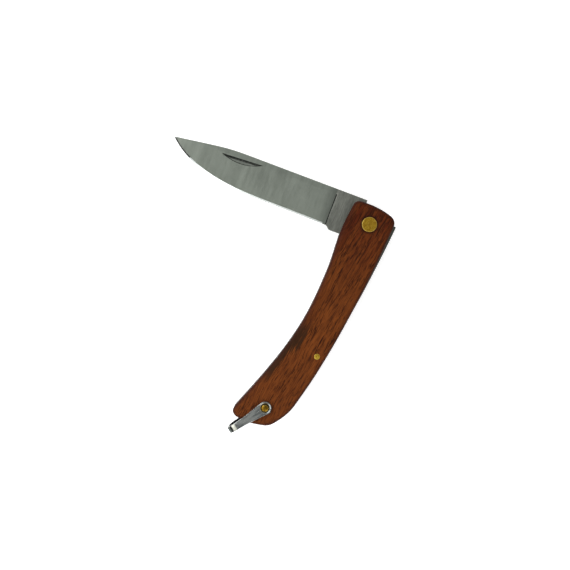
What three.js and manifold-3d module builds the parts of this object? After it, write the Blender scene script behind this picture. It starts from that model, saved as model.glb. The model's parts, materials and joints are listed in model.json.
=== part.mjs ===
// A slip-joint folding knife with wooden scales and a steel bail, half open.
//
// Frame, in millimetres: the origin is on the blade's pivot axis, in the plane of the rear rivet
// head's face. +Z is the pivot axis, towards the front scale. +X runs from the bail pin towards the
// nose of the handle, and +Y towards the edge of the handle that the blade folds into.

import * as THREE from "three";
import { mergeVertices } from "three/addons/utils/BufferGeometryUtils.js";
import Module from "manifold-3d";

const wasm = await Module();
wasm.setup();

// ---------------------------------------------------------------- driving dimensions

const HANDLE_LENGTH = 110.4; // nose to butt
const HANDLE_DEPTH = 20.3; // back to opening edge, across the pivot
const NOSE_REACH = 8.4; // pivot axis to the handle's nose
const LINER_THICKNESS = 0.8;
const SCALE_THICKNESS = 4.4;
const EDGE_ROUND_IN = 1.9; // how far the rounding of a scale's rim reaches in
const EDGE_ROUND_DOWN = 1.7; // and how far down

const BLADE_THICKNESS = 2.3;
const BLADE_WIDTH = 16.5; // spine to cutting edge, in the straight stretch
const TIP_INSET = 7.6; // tip short of the butt end when folded
const CUTTING_THICKNESS = 0.3; // across the cutting edge
const TIP_THICKNESS = 0.6;
const TIP_TAPER = 20; // length over which the whole blade thins to its tip
const PLUNGE_AT = 17.8; // pivot to the line where the ground faces begin
const UNGROUND_STRIP = 2.3; // full thickness left along the spine
const NICK_LENGTH = 19.2;
const NICK_HEIGHT = 2.25;
const NICK_DEPTH = 0.45;
const NICK_AT = 62.4; // pivot to the middle of the nail nick
const NICK_BELOW_SPINE = 2.6;
const NICK_TURN_DEG = 3; // the nick's straight side to the spine

const SPRING_NOSE_THICKNESS = 2.8;
const SPRING_FLEX_THICKNESS = 3.3; // in the stretch that bends
const SPRING_END_AT = 4.2; // how far the spring runs past the pivot
const CAM_RISE = 1.0; // tang radius over tang flat: what lifts the spring
const KICK_RISE = 0.9; // kick over tang flat
const BACK_SLOPE_DEG = 5.5; // slope of the handle's back at the nose

const REST_DEG = 99; // blade direction at rest, from +X
const CLOSED_DEG = 179; // blade direction when folded

const RIVET_HEAD_RADIUS = 3.3;
const RIVET_HEAD_THICKNESS = 0.9;
const RIVET_TUBE_RADIUS = 2.0;
const RIVET_POST_RADIUS = 1.15;
const HEAD_PROUD = 0.25; // rivet head above the wood
const HEAD_CHAMFER = 0.18;

const SPRING_PIN_RADIUS = 1.3;
const SPRING_PIN_PROUD = 0.12;
const SPRING_PIN_FROM_BACK = 3.8; // pin centre to the handle's back
const SPRING_PIN_BOSS = 2.7; // spring material over the pin, on the inner side

const BAIL_PIN_RADIUS = 1.2;
const BAIL_PIN_INSET = 9.65; // butt end to the bail pin
const BAIL_PIN_BOSS = 3.4;
const BAIL_HEAD_RADIUS = 1.6;
const BAIL_HEAD_RISE = 0.6; // top of the pin's domed head above the strap
const BAIL_LENGTH = 18.9; // pin axis to the outside of the cross-bar
const BAIL_STRAP = 0.9; // thickness of the strap
const BAIL_BAR_WIDTH = 2.75;
const BAIL_BEND_RADIUS = 3.0; // outside radius of the two bends
const BAIL_DISH_GAP = 0.85; // rim of the pin's head to the rim of the dish it sits in
const BAIL_DISH_DEPTH = 0.6;
const BAIL_EYE_RIM = 0.4; // strap left round the dish
const EYE_LEAVES_DEG = 76; // where the leg's sides leave the round of the eye
const BAIL_REST_DEG = 152; // bail direction at rest, from +X

const FIT_CLEARANCE = 0.06; // pins and posts in the holes that hold them
const RUN_CLEARANCE = 0.1; // blade in its slot, tang on its pivot, tang to spring
const BAIL_CLEARANCE = 0.2; // bail legs to the scales

const ROUND_SIDES = 24;
const CURVE_STEPS = 8; // straight pieces in each curved stretch of an outline
const HANDLE_STEPS = 4; // and between two stations of the handle's edges

// ---------------------------------------------------------------- places that follow from them

const SLOT_WIDTH = BLADE_THICKNESS + 2 * RUN_CLEARANCE; // also the thickness of the back spring
const BAIL_DISH_RADIUS = BAIL_HEAD_RADIUS + BAIL_DISH_GAP;
const BAIL_EYE_RADIUS = BAIL_DISH_RADIUS + BAIL_EYE_RIM;

const BUTT_REACH = HANDLE_LENGTH - NOSE_REACH;
const BACK_REACH = HANDLE_DEPTH / 2;
const TIP_REACH = BUTT_REACH - TIP_INSET;
const EDGE_REACH = BLADE_WIDTH - BACK_REACH;
const SPRING_SEAT = BACK_REACH - SPRING_NOSE_THICKNESS; // pivot to the spring's inner face
const TANG_FLAT = SPRING_SEAT - RUN_CLEARANCE;
const CAM_RADIUS = SPRING_SEAT + CAM_RISE;
const KICK_REACH = TANG_FLAT + KICK_RISE;

const Z_REAR_FACE = HEAD_PROUD;
const Z_REAR_LINER = Z_REAR_FACE + SCALE_THICKNESS;
const Z_SLOT = Z_REAR_LINER + LINER_THICKNESS;
const Z_FRONT_LINER = Z_SLOT + SLOT_WIDTH;
const Z_FRONT_SCALE = Z_FRONT_LINER + LINER_THICKNESS;
const Z_FRONT_FACE = Z_FRONT_SCALE + SCALE_THICKNESS;
const Z_MIDDLE = (Z_REAR_FACE + Z_FRONT_FACE) / 2;

const radians = THREE.MathUtils.degToRad;
const point = (x, y) => new THREE.Vector2(x, y);
const turned = (x, y, degrees) => point(x, y).rotateAround(point(0, 0), radians(degrees));

// The handle's edges, from nose to butt, as shares of BUTT_REACH behind the pivot and of BACK_REACH.
const BACK_SHARES = [
  [0.079, -1.084], [0.275, -1.207], [0.491, -1.251], [0.668, -1.21], [0.786, -1.118],
  [0.865, -1.015], [0.93, -0.75], [0.97, -0.425], [0.9965, 0.31],
];
const OPENING_SHARES = [
  [0.965, 1.187], [0.786, 0.798], [0.619, 0.532], [0.447, 0.45], [0.246, 0.631], [0.079, 0.946],
];
const onHandle = ([along, across]) => point(-along * BUTT_REACH, across * BACK_REACH);

const noseLower = point(NOSE_REACH - 3.8, -0.97 * BACK_REACH);
const noseUpper = point(NOSE_REACH - 4, 1.018 * BACK_REACH);
const backEdge = new THREE.SplineCurve([noseLower, ...BACK_SHARES.map(onHandle)]);
const openingEdge = new THREE.SplineCurve([...OPENING_SHARES.map(onHandle), noseUpper]);
const backPoints = backEdge.getPoints(HANDLE_STEPS * backEdge.points.length);

const springPin = onHandle([0.604, -1.228]).add(point(0, SPRING_PIN_FROM_BACK));
const bailPin = point(-(BUTT_REACH - BAIL_PIN_INSET), 0);

// The spring bends like a beam clamped at its pin: this is its deflection, as a share of the nose's.
const springNose = turned(SPRING_END_AT, -BACK_REACH, BACK_SLOPE_DEG);
function deflection(x) {
  const share = Math.max(0, (x - springPin.x) / (springNose.x - springPin.x));
  return (3 * share ** 2 - share ** 3) / 2;
}
const NOSE_LIFT = (CAM_RISE + RUN_CLEARANCE) / deflection(0);
const lifted = (p) => point(p.x, p.y - NOSE_LIFT * deflection(p.x));

// ---------------------------------------------------------------- making and cutting solids

function toSolid(geometry) {
  const bare = geometry.clone();
  bare.deleteAttribute("normal");
  bare.deleteAttribute("uv");
  const merged = mergeVertices(bare, 1e-4);
  return new wasm.Manifold(new wasm.Mesh({
    numProp: 3,
    vertProperties: new Float32Array(merged.attributes.position.array),
    triVerts: new Uint32Array(merged.index.array),
  }));
}

function toGeometry(solid) {
  const mesh = solid.getMesh();
  const geometry = new THREE.BufferGeometry();
  geometry.setAttribute("position", new THREE.BufferAttribute(mesh.vertProperties, 3));
  geometry.setIndex(new THREE.BufferAttribute(mesh.triVerts, 1));
  geometry.computeVertexNormals();
  return geometry;
}

function plate(shape, bottom, thickness, curveSegments = CURVE_STEPS) {
  const options = { depth: thickness, bevelEnabled: false, curveSegments };
  return new THREE.ExtrudeGeometry(shape, options).translate(0, 0, bottom);
}

// A profile of [radius, height] pairs, from the axis at the bottom to the axis at the top.
function turnedPiece(profile, centre) {
  const points = profile.map(([radius, height]) => point(radius, height));
  const geometry = new THREE.LatheGeometry(points, ROUND_SIDES).rotateX(Math.PI / 2);
  return geometry.translate(centre.x, centre.y, 0);
}

const rod = (radius, bottom, top, centre) =>
  turnedPiece([[0, bottom], [radius, bottom], [radius, top], [0, top]], centre);

function drilled(solid, holes) {
  return holes.reduce((left, hole) => left.subtract(toSolid(hole)), solid);
}

const pivot = point(0, 0);
const throughHoles = (bottom, top) => [
  rod(RIVET_TUBE_RADIUS + FIT_CLEARANCE, bottom - 1, top + 1, pivot),
  rod(SPRING_PIN_RADIUS + FIT_CLEARANCE, bottom - 1, top + 1, springPin),
  rod(BAIL_PIN_RADIUS + FIT_CLEARANCE, bottom - 1, top + 1, bailPin),
];

// ---------------------------------------------------------------- handle

function handleOutline() {
  const shape = new THREE.Shape();
  const butt = onHandle([1, 0.78]);
  const corner = onHandle([1.0015, 1.21]);
  const [openingStart] = openingEdge.points;
  shape.moveTo(noseLower.x, noseLower.y);
  shape.splineThru(backEdge.points.slice(1));
  shape.lineTo(butt.x, butt.y);
  shape.quadraticCurveTo(corner.x, corner.y, openingStart.x, openingStart.y);
  shape.splineThru(openingEdge.points.slice(1));
  shape.quadraticCurveTo(NOSE_REACH - 1.2, 1.02 * BACK_REACH, NOSE_REACH - 0.8, 0.62 * BACK_REACH);
  shape.quadraticCurveTo(NOSE_REACH + 0.5, 0, NOSE_REACH - 0.4, -0.61 * BACK_REACH);
  shape.quadraticCurveTo(NOSE_REACH - 0.9, -0.92 * BACK_REACH, noseLower.x, noseLower.y);
  return shape;
}

function liner(bottom) {
  const blank = toSolid(plate(handleOutline(), bottom, LINER_THICKNESS, HANDLE_STEPS));
  return toGeometry(drilled(blank, throughHoles(bottom, bottom + LINER_THICKNESS)));
}

// A blank twice as thick, rounded all round on both faces, is halved; side is +1 for the front scale.
function scale(side) {
  const inner = side > 0 ? Z_FRONT_SCALE : Z_REAR_LINER;
  const outer = inner + side * SCALE_THICKNESS;
  const blank = new THREE.ExtrudeGeometry(handleOutline(), {
    depth: 2 * (SCALE_THICKNESS - EDGE_ROUND_DOWN),
    curveSegments: HANDLE_STEPS,
    bevelThickness: EDGE_ROUND_DOWN,
    bevelSize: EDGE_ROUND_IN,
    bevelOffset: -EDGE_ROUND_IN,
    bevelSegments: 4,
  }).translate(0, 0, inner - (SCALE_THICKNESS - EDGE_ROUND_DOWN));
  const half = new THREE.BoxGeometry(3 * HANDLE_LENGTH, 3 * HANDLE_LENGTH, 2 * SCALE_THICKNESS)
    .translate(0, 0, inner + side * SCALE_THICKNESS);
  const low = Math.min(inner, outer);
  const seat = rod(
    RIVET_HEAD_RADIUS + FIT_CLEARANCE,
    side > 0 ? Z_FRONT_FACE + HEAD_PROUD - RIVET_HEAD_THICKNESS : low - 1,
    side > 0 ? Z_FRONT_FACE + 1 : RIVET_HEAD_THICKNESS,
    pivot,
  );
  const shell = toSolid(blank).intersect(toSolid(half));
  return toGeometry(drilled(shell, [...throughHoles(low, low + SCALE_THICKNESS), seat]));
}

// ---------------------------------------------------------------- blade
// Drawn in a frame of its own: X towards the tip, Y towards the cutting edge, Z = 0 mid-thickness.

const STEP_AT = SPRING_END_AT + RUN_CLEARANCE;
const HEEL_AT = PLUNGE_AT - 0.2;
const TIP = point(TIP_REACH, -0.645 * BACK_REACH);

function bladeOutline() {
  const shape = new THREE.Shape();
  const openFlatEnd = -Math.sqrt(CAM_RADIUS ** 2 - TANG_FLAT ** 2);
  const seatNormal = BACK_SLOPE_DEG - 90 - CLOSED_DEG;
  const onClosedFlat = (along) => turned(TANG_FLAT, along, seatNormal);
  const closedFlatStart = onClosedFlat(-openFlatEnd);
  const closedFlatEnd = onClosedFlat(-BACK_REACH * 0.3);
  shape.moveTo(STEP_AT, -BACK_REACH);
  shape.lineTo(0.66 * TIP_REACH, -BACK_REACH);
  shape.quadraticCurveTo(0.73 * TIP_REACH, -BACK_REACH, 0.81 * TIP_REACH, -0.89 * BACK_REACH);
  shape.lineTo(TIP.x, TIP.y);
  shape.bezierCurveTo(
    0.86 * TIP_REACH, EDGE_REACH * 1.02,
    0.61 * TIP_REACH, EDGE_REACH * 0.98,
    0.49 * TIP_REACH, EDGE_REACH,
  );
  shape.lineTo(HEEL_AT + 0.6, EDGE_REACH + 0.2);
  shape.quadraticCurveTo(HEEL_AT - 0.4, EDGE_REACH + 0.3, HEEL_AT - 1.1, KICK_REACH - 0.5);
  shape.quadraticCurveTo(HEEL_AT - 1.6, KICK_REACH, HEEL_AT - 2.6, KICK_REACH);
  shape.lineTo(HEEL_AT - 6.5, KICK_REACH - 0.08);
  shape.lineTo(closedFlatEnd.x, closedFlatEnd.y);
  shape.lineTo(closedFlatStart.x, closedFlatStart.y);
  shape.absarc(
    0, 0, CAM_RADIUS,
    Math.atan2(closedFlatStart.y, closedFlatStart.x),
    Math.atan2(-TANG_FLAT, openFlatEnd) + 2 * Math.PI,
    false,
  );
  shape.lineTo(STEP_AT, -TANG_FLAT);
  shape.closePath();
  return shape;
}

// The wedge that grinding takes off one face, from the plunge line to past the tip.
function grindWedge(side) {
  const half = BLADE_THICKNESS / 2;
  const drop = half - CUTTING_THICKNESS / 2;
  const top = -BACK_REACH + UNGROUND_STRIP;
  const run = EDGE_REACH - top;
  const wedge = new THREE.Shape([
    point(top, side * half),
    point(top + 2 * run, side * (half - 2 * drop)),
    point(top + 2 * run, side * (half + 1)),
    point(top, side * (half + 1)),
  ]);
  const geometry = new THREE.ExtrudeGeometry(wedge, { depth: TIP_REACH, bevelEnabled: false });
  // The section's X and Y become the blade's Y and Z, and the extrusion runs along its X.
  geometry.applyMatrix4(new THREE.Matrix4().set(0, 0, 1, PLUNGE_AT, 1, 0, 0, 0, 0, 1, 0, 0, 0, 0, 0, 1));
  return toSolid(geometry);
}

// The wedge that thins one face towards the tip, over the blade's whole depth.
function tipWedge(side) {
  const half = BLADE_THICKNESS / 2;
  const drop = half - TIP_THICKNESS / 2;
  const start = TIP_REACH - TIP_TAPER;
  const wedge = new THREE.Shape([
    point(start, side * half),
    point(start + 2 * TIP_TAPER, side * (half - 2 * drop)),
    point(start + 2 * TIP_TAPER, side * (half + 1)),
    point(start, side * (half + 1)),
  ]);
  const reach = 2 * BACK_REACH;
  const geometry = new THREE.ExtrudeGeometry(wedge, { depth: 2 * reach, bevelEnabled: false });
  // The section's Y becomes the blade's Z, and the extrusion runs across the blade.
  geometry.applyMatrix4(new THREE.Matrix4().set(1, 0, 0, 0, 0, 0, -1, reach, 0, 1, 0, 0, 0, 0, 0, 1));
  return toSolid(geometry);
}

// A slim cut, straight along the spine side and bowed along the other.
function nailNick() {
  const shape = new THREE.Shape();
  shape.moveTo(-NICK_LENGTH / 2, 0);
  shape.lineTo(NICK_LENGTH / 2, 0);
  shape.quadraticCurveTo(0, 2 * NICK_HEIGHT, -NICK_LENGTH / 2, 0);
  const cut = plate(shape, 0, BLADE_THICKNESS).rotateZ(radians(NICK_TURN_DEG));
  const top = BLADE_THICKNESS / 2;
  return toSolid(cut.translate(NICK_AT, -BACK_REACH + NICK_BELOW_SPINE, top - NICK_DEPTH));
}

function blade() {
  let solid = toSolid(plate(bladeOutline(), -BLADE_THICKNESS / 2, BLADE_THICKNESS));
  for (const side of [1, -1]) {
    solid = solid.subtract(grindWedge(side)).subtract(tipWedge(side));
  }
  solid = solid.subtract(nailNick());
  const bore = rod(RIVET_TUBE_RADIUS + RUN_CLEARANCE, -BLADE_THICKNESS, BLADE_THICKNESS, pivot);
  return toGeometry(solid.subtract(toSolid(bore)));
}

// ---------------------------------------------------------------- back spring

// The inner side, from the nose to the butt, before the spring is lifted.
function springInside() {
  const kick = turned(HEEL_AT - 2.6, KICK_REACH, CLOSED_DEG);
  const seatY = kick.y - RUN_CLEARANCE;
  const flexY = (share) => -share * BACK_REACH + SPRING_FLEX_THICKNESS;
  const straight = [
    turned(SPRING_END_AT, -SPRING_SEAT, BACK_SLOPE_DEG),
    turned(-SPRING_END_AT, -SPRING_SEAT, BACK_SLOPE_DEG),
  ];
  const flowing = new THREE.SplineCurve([
    point(kick.x + 6, seatY),
    point(kick.x - 1, seatY),
    onHandle([0.3, 0]).setY(flexY(1.217)),
    onHandle([0.47, 0]).setY(flexY(1.251)),
    point(springPin.x + 5, springPin.y + SPRING_PIN_BOSS - 1),
    point(springPin.x, springPin.y + SPRING_PIN_BOSS),
    point((springPin.x + bailPin.x) / 2, springPin.y + SPRING_PIN_BOSS),
    point(bailPin.x + 2.4 * BAIL_PIN_BOSS, -BAIL_PIN_BOSS),
    point(bailPin.x + BAIL_PIN_BOSS, BAIL_PIN_BOSS * 0.5),
    point(bailPin.x, BAIL_PIN_BOSS),
    backPoints.at(-1),
  ]);
  return [...straight, ...flowing.getPoints(40)];
}

function backSpring() {
  const outside = [springNose, ...backPoints.slice(1)];
  const inside = springInside().slice(0, -1);
  const outline = new THREE.Shape([...outside.map(lifted), ...inside.map(lifted).reverse()]);
  const blank = toSolid(plate(outline, Z_SLOT, SLOT_WIDTH));
  return toGeometry(drilled(blank, throughHoles(Z_SLOT, Z_SLOT + SLOT_WIDTH).slice(1)));
}

// ---------------------------------------------------------------- rivets and pins

const Z_FRONT_HEAD = Z_FRONT_FACE + HEAD_PROUD - RIVET_HEAD_THICKNESS;

// The rear half has a tube that the blade turns on; the front half's post is pressed into the tube.
function rearRivet() {
  const bore = RIVET_POST_RADIUS + FIT_CLEARANCE;
  return turnedPiece([
    [0, 0],
    [RIVET_HEAD_RADIUS - HEAD_CHAMFER, 0],
    [RIVET_HEAD_RADIUS, HEAD_CHAMFER],
    [RIVET_HEAD_RADIUS, RIVET_HEAD_THICKNESS],
    [RIVET_TUBE_RADIUS, RIVET_HEAD_THICKNESS],
    [RIVET_TUBE_RADIUS, Z_FRONT_HEAD - RUN_CLEARANCE],
    [bore, Z_FRONT_HEAD - RUN_CLEARANCE],
    [bore, RIVET_HEAD_THICKNESS],
    [0, RIVET_HEAD_THICKNESS],
  ], pivot);
}

function frontRivet() {
  const face = Z_FRONT_FACE + HEAD_PROUD;
  return turnedPiece([
    [0, RIVET_HEAD_THICKNESS + RUN_CLEARANCE],
    [RIVET_POST_RADIUS, RIVET_HEAD_THICKNESS + RUN_CLEARANCE],
    [RIVET_POST_RADIUS, Z_FRONT_HEAD],
    [RIVET_HEAD_RADIUS, Z_FRONT_HEAD],
    [RIVET_HEAD_RADIUS, face - HEAD_CHAMFER],
    [RIVET_HEAD_RADIUS - HEAD_CHAMFER, face],
    [0, face],
  ], pivot);
}

function springPinPiece() {
  const rim = SPRING_PIN_RADIUS * 0.7;
  return turnedPiece([
    [0, Z_REAR_FACE - SPRING_PIN_PROUD],
    [rim, Z_REAR_FACE - SPRING_PIN_PROUD],
    [SPRING_PIN_RADIUS, Z_REAR_FACE],
    [SPRING_PIN_RADIUS, Z_FRONT_FACE],
    [rim, Z_FRONT_FACE + SPRING_PIN_PROUD],
    [0, Z_FRONT_FACE + SPRING_PIN_PROUD],
  ], springPin);
}

const Z_BAIL_FRONT = Z_FRONT_FACE + BAIL_CLEARANCE; // inner face of the front leg
const Z_BAIL_REAR = Z_REAR_FACE - BAIL_CLEARANCE;
const DISH_FLOOR = BAIL_STRAP - BAIL_DISH_DEPTH;

// One end of the bail pin: a cone that sits in the eye's dish, under a low dome.
// Heights are from the inner face of the leg.
const bailHead = [
  [BAIL_PIN_RADIUS, DISH_FLOOR + RUN_CLEARANCE],
  [BAIL_HEAD_RADIUS, BAIL_STRAP - 0.1],
  [BAIL_HEAD_RADIUS * 0.87, BAIL_STRAP + BAIL_HEAD_RISE - 0.35],
  [BAIL_HEAD_RADIUS * 0.5, BAIL_STRAP + BAIL_HEAD_RISE - 0.1],
  [0, BAIL_STRAP + BAIL_HEAD_RISE],
];

function bailPinPiece() {
  const front = bailHead.map(([radius, height]) => [radius, Z_BAIL_FRONT + height]);
  const rear = bailHead.map(([radius, height]) => [radius, Z_BAIL_REAR - height]).reverse();
  return turnedPiece([...rear, ...front], bailPin);
}

// ---------------------------------------------------------------- bail
// Drawn with the pin's axis at the origin and X towards the cross-bar.

// The strap seen from its edge: X along the leg, Y across the handle's thickness.
function strapSection() {
  const half = (Z_BAIL_FRONT - Z_BAIL_REAR) / 2;
  const inner = BAIL_BEND_RADIUS - BAIL_STRAP;
  const bend = BAIL_LENGTH - BAIL_BEND_RADIUS;
  const start = -BAIL_EYE_RADIUS;
  const section = new THREE.Shape();
  section.moveTo(start, -half - BAIL_STRAP);
  section.lineTo(bend, -half - BAIL_STRAP);
  section.absarc(bend, -half + inner, BAIL_BEND_RADIUS, -Math.PI / 2, 0, false);
  section.absarc(bend, half - inner, BAIL_BEND_RADIUS, 0, Math.PI / 2, false);
  section.lineTo(start, half + BAIL_STRAP);
  section.lineTo(start, half);
  section.lineTo(bend, half);
  section.absarc(bend, half - inner, inner, Math.PI / 2, 0, true);
  section.absarc(bend, -half + inner, inner, 0, -Math.PI / 2, true);
  section.lineTo(start, -half);
  section.closePath();
  return section;
}

// The strap seen face on: a round eye that tapers to the width of the cross-bar.
function strapOutline() {
  const bar = BAIL_BAR_WIDTH / 2;
  const eyeEnd = turned(BAIL_EYE_RADIUS, 0, EYE_LEAVES_DEG);
  const neck = 0.62 * BAIL_LENGTH;
  const outline = new THREE.Shape();
  outline.absarc(0, 0, BAIL_EYE_RADIUS, radians(EYE_LEAVES_DEG), radians(-EYE_LEAVES_DEG), false);
  outline.quadraticCurveTo(0.33 * BAIL_LENGTH, -1.5 * bar, neck, -1.18 * bar);
  outline.lineTo(BAIL_LENGTH + 1, -bar);
  outline.lineTo(BAIL_LENGTH + 1, bar);
  outline.lineTo(neck, 1.18 * bar);
  outline.quadraticCurveTo(0.33 * BAIL_LENGTH, 1.5 * bar, eyeEnd.x, eyeEnd.y);
  return outline;
}

function bail() {
  const reach = (Z_BAIL_FRONT - Z_BAIL_REAR) / 2 + BAIL_STRAP;
  const width = 2 * BAIL_EYE_RADIUS + 1;
  const band = new THREE.ExtrudeGeometry(strapSection(), {
    depth: width,
    bevelEnabled: false,
    curveSegments: CURVE_STEPS,
  }).translate(0, 0, -width / 2).rotateX(Math.PI / 2);
  const outline = plate(strapOutline(), -reach - 1, 2 * reach + 2);
  const dish = (side) => {
    const floor = side * (reach - BAIL_DISH_DEPTH);
    const cone = [
      [0, floor],
      [BAIL_PIN_RADIUS + RUN_CLEARANCE, floor],
      [BAIL_DISH_RADIUS, side * reach],
      [BAIL_DISH_RADIUS, side * (reach + 1)],
      [0, side * (reach + 1)],
    ];
    return turnedPiece(side > 0 ? cone : cone.reverse(), pivot);
  };
  const eye = rod(BAIL_PIN_RADIUS + RUN_CLEARANCE, -reach - 1, reach + 1, pivot);
  const strap = toSolid(band).intersect(toSolid(outline));
  return toGeometry(drilled(strap, [eye, dish(1), dish(-1)]));
}

// ---------------------------------------------------------------- materials and assembly

const steel = (color, roughness) =>
  new THREE.MeshStandardMaterial({ color, roughness, metalness: 1 });
const BLADE_STEEL = steel(0x8a9088, 0.38);
const SPRING_STEEL = steel(0x4b5049, 0.45);
const LINER_STEEL = steel(0x8d8f8c, 0.35);
const BAIL_STEEL = steel(0xa7abad, 0.2);
const BRASS = new THREE.MeshStandardMaterial({ color: 0x8f6d22, roughness: 0.35, metalness: 1 });
const WOOD = new THREE.MeshStandardMaterial({ color: 0x673819, roughness: 0.55, metalness: 0 });

const knife = new THREE.Group();

function add(name, geometry, material, parent = knife) {
  const mesh = new THREE.Mesh(geometry, material);
  mesh.name = name;
  parent.add(mesh);
}

add("rear_scale", scale(-1), WOOD);
add("front_scale", scale(1), WOOD);
add("rear_liner", liner(Z_REAR_LINER), LINER_STEEL);
add("front_liner", liner(Z_FRONT_LINER), LINER_STEEL);
add("back_spring", backSpring(), SPRING_STEEL);
add("pivot_rivet_rear", rearRivet(), BRASS);
add("pivot_rivet_front", frontRivet(), BRASS);
add("spring_pin", springPinPiece(), BRASS);
add("bail_pin", bailPinPiece(), BRASS);

const bladeTurn = new THREE.Group();
bladeTurn.position.set(0, 0, Z_SLOT + SLOT_WIDTH / 2);
bladeTurn.rotation.z = radians(REST_DEG);
add("blade", blade(), BLADE_STEEL, bladeTurn);
knife.add(bladeTurn);

const bailTurn = new THREE.Group();
bailTurn.position.set(bailPin.x, bailPin.y, Z_MIDDLE);
bailTurn.rotation.z = radians(BAIL_REST_DEG);
add("bail", bail(), BAIL_STEEL, bailTurn);
knife.add(bailTurn);

export default knife;
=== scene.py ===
import json
import logging
import math
from collections.abc import Callable, Iterable, Sequence
from dataclasses import dataclass, field
from enum import Enum, IntEnum

import bmesh
import bpy
from mathutils import Matrix, Vector
from mathutils.geometry import interpolate_bezier
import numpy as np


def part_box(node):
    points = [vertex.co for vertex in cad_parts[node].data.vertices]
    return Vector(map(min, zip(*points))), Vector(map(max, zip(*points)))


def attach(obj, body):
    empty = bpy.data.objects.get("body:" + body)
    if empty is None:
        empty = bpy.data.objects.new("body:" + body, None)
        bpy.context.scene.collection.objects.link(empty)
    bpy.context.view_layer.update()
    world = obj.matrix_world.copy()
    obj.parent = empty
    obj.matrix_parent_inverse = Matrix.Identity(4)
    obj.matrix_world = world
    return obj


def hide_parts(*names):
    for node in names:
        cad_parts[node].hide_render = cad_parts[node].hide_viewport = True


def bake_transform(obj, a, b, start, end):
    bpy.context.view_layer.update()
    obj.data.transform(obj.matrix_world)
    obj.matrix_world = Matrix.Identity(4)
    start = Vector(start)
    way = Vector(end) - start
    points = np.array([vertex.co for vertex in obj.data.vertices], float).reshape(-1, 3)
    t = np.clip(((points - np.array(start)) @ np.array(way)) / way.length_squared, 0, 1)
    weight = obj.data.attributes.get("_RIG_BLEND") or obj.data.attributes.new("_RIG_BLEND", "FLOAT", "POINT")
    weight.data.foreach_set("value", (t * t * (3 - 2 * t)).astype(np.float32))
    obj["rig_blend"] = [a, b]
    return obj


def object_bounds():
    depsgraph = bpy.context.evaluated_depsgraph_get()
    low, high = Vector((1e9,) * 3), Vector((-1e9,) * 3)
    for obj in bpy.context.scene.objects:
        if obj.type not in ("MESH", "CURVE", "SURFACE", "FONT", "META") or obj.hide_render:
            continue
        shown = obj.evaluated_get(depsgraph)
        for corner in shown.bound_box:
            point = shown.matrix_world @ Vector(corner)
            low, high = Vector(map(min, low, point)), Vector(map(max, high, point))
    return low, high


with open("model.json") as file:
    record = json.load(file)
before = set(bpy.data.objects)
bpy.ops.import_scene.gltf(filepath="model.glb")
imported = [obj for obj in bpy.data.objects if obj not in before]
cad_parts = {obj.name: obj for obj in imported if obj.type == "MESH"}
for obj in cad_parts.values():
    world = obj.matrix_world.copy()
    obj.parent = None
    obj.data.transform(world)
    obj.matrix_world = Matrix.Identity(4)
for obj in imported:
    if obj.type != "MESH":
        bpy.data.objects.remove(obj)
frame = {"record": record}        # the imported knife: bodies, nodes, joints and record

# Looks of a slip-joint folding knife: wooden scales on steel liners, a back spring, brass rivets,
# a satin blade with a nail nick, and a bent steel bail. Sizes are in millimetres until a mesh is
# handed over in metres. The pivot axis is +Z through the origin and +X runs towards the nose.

LOG = logging.getLogger("knife")
MM = 0.001
SAME_PLACE = 1e-4  # two points nearer than this are one, in millimetres
NO_LENGTH = 1e-5
NOISE_SPREAD = (0.3, 0.7)  # the range that smooth noise mostly keeps to
FAR_FROM_RIM = 5.0  # a distance from the blade's outline past the honed band
FLAT_BORDER = 0.2  # width of the ring left inside a rounded edge, before the flat is filled
MIDDLE_OF_HANDLE = (-45.0, 20.0, 0.0)
CAD_BOX = [list(corner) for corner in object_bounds()]

Loop = list[bmesh.types.BMEdge]
Points = list[Vector]
Profile = list[tuple[float, float]]
Colour = tuple[int, int, int]


class Body(Enum):
    """The bodies that pieces ride on."""

    HANDLE = "handle"
    BLADE = "blade"
    SPRING = "back_spring"
    BAIL = "bail"


class Slot(Enum):
    """The record's material slots."""

    BLADE = "blade_steel"
    SPRING = "spring_steel"
    LINER = "liner_steel"
    BAIL = "bail_steel"
    BRASS = "rivet_brass"
    WOOD = "scale_wood"


class BladeFace(IntEnum):
    """Which finish each part of the blade takes."""

    SATIN = 0
    HONED = 1
    NICK = 2
    RICASSO = 3
    # painted shade: the plunge's steep face, the nick's wall and the cutting edge near the tip
    DARK = 4
    NICK_LIP = 5


class BailFace(IntEnum):
    """Which finish each part of the bail takes; all but the outside are painted shade or a painted
    highlight.
    """

    OUTSIDE = 0
    INSIDE = 1
    BAR = 2
    LOWER_BEND = 3
    UPPER_BEND = 4


# ---------------------------------------------------------------- outlines


def at(x: float, y: float) -> Vector:
    """A point in the plane of an outline."""
    return Vector((x, y, 0.0))


def up(height: float) -> Vector:
    """A move along the pivot axis."""
    return Vector((0.0, 0.0, height))


def held(share: float) -> float:
    """A share held between 0 and 1."""
    return min(1.0, max(0.0, share))


def once(items: Iterable) -> list:
    """Every item once, in the order in which they first come, so that each run gives the same mesh."""
    return list(dict.fromkeys(items))


def turned(x: float, y: float, degrees: float) -> Vector:
    """A point turned about the origin."""
    return Matrix.Rotation(math.radians(degrees), 3, "Z") @ at(x, y)


def quadratic(start: Vector, control: Vector, end: Vector, steps: int) -> Points:
    """Points along a curve with one control point, both ends included."""
    return interpolate_bezier(start, start.lerp(control, 2 / 3), end.lerp(control, 2 / 3), end, steps)


def cubic(start: Vector, first: Vector, second: Vector, end: Vector, steps: int) -> Points:
    """Points along a curve with two control points, both ends included."""
    return interpolate_bezier(start, first, second, end, steps)


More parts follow.
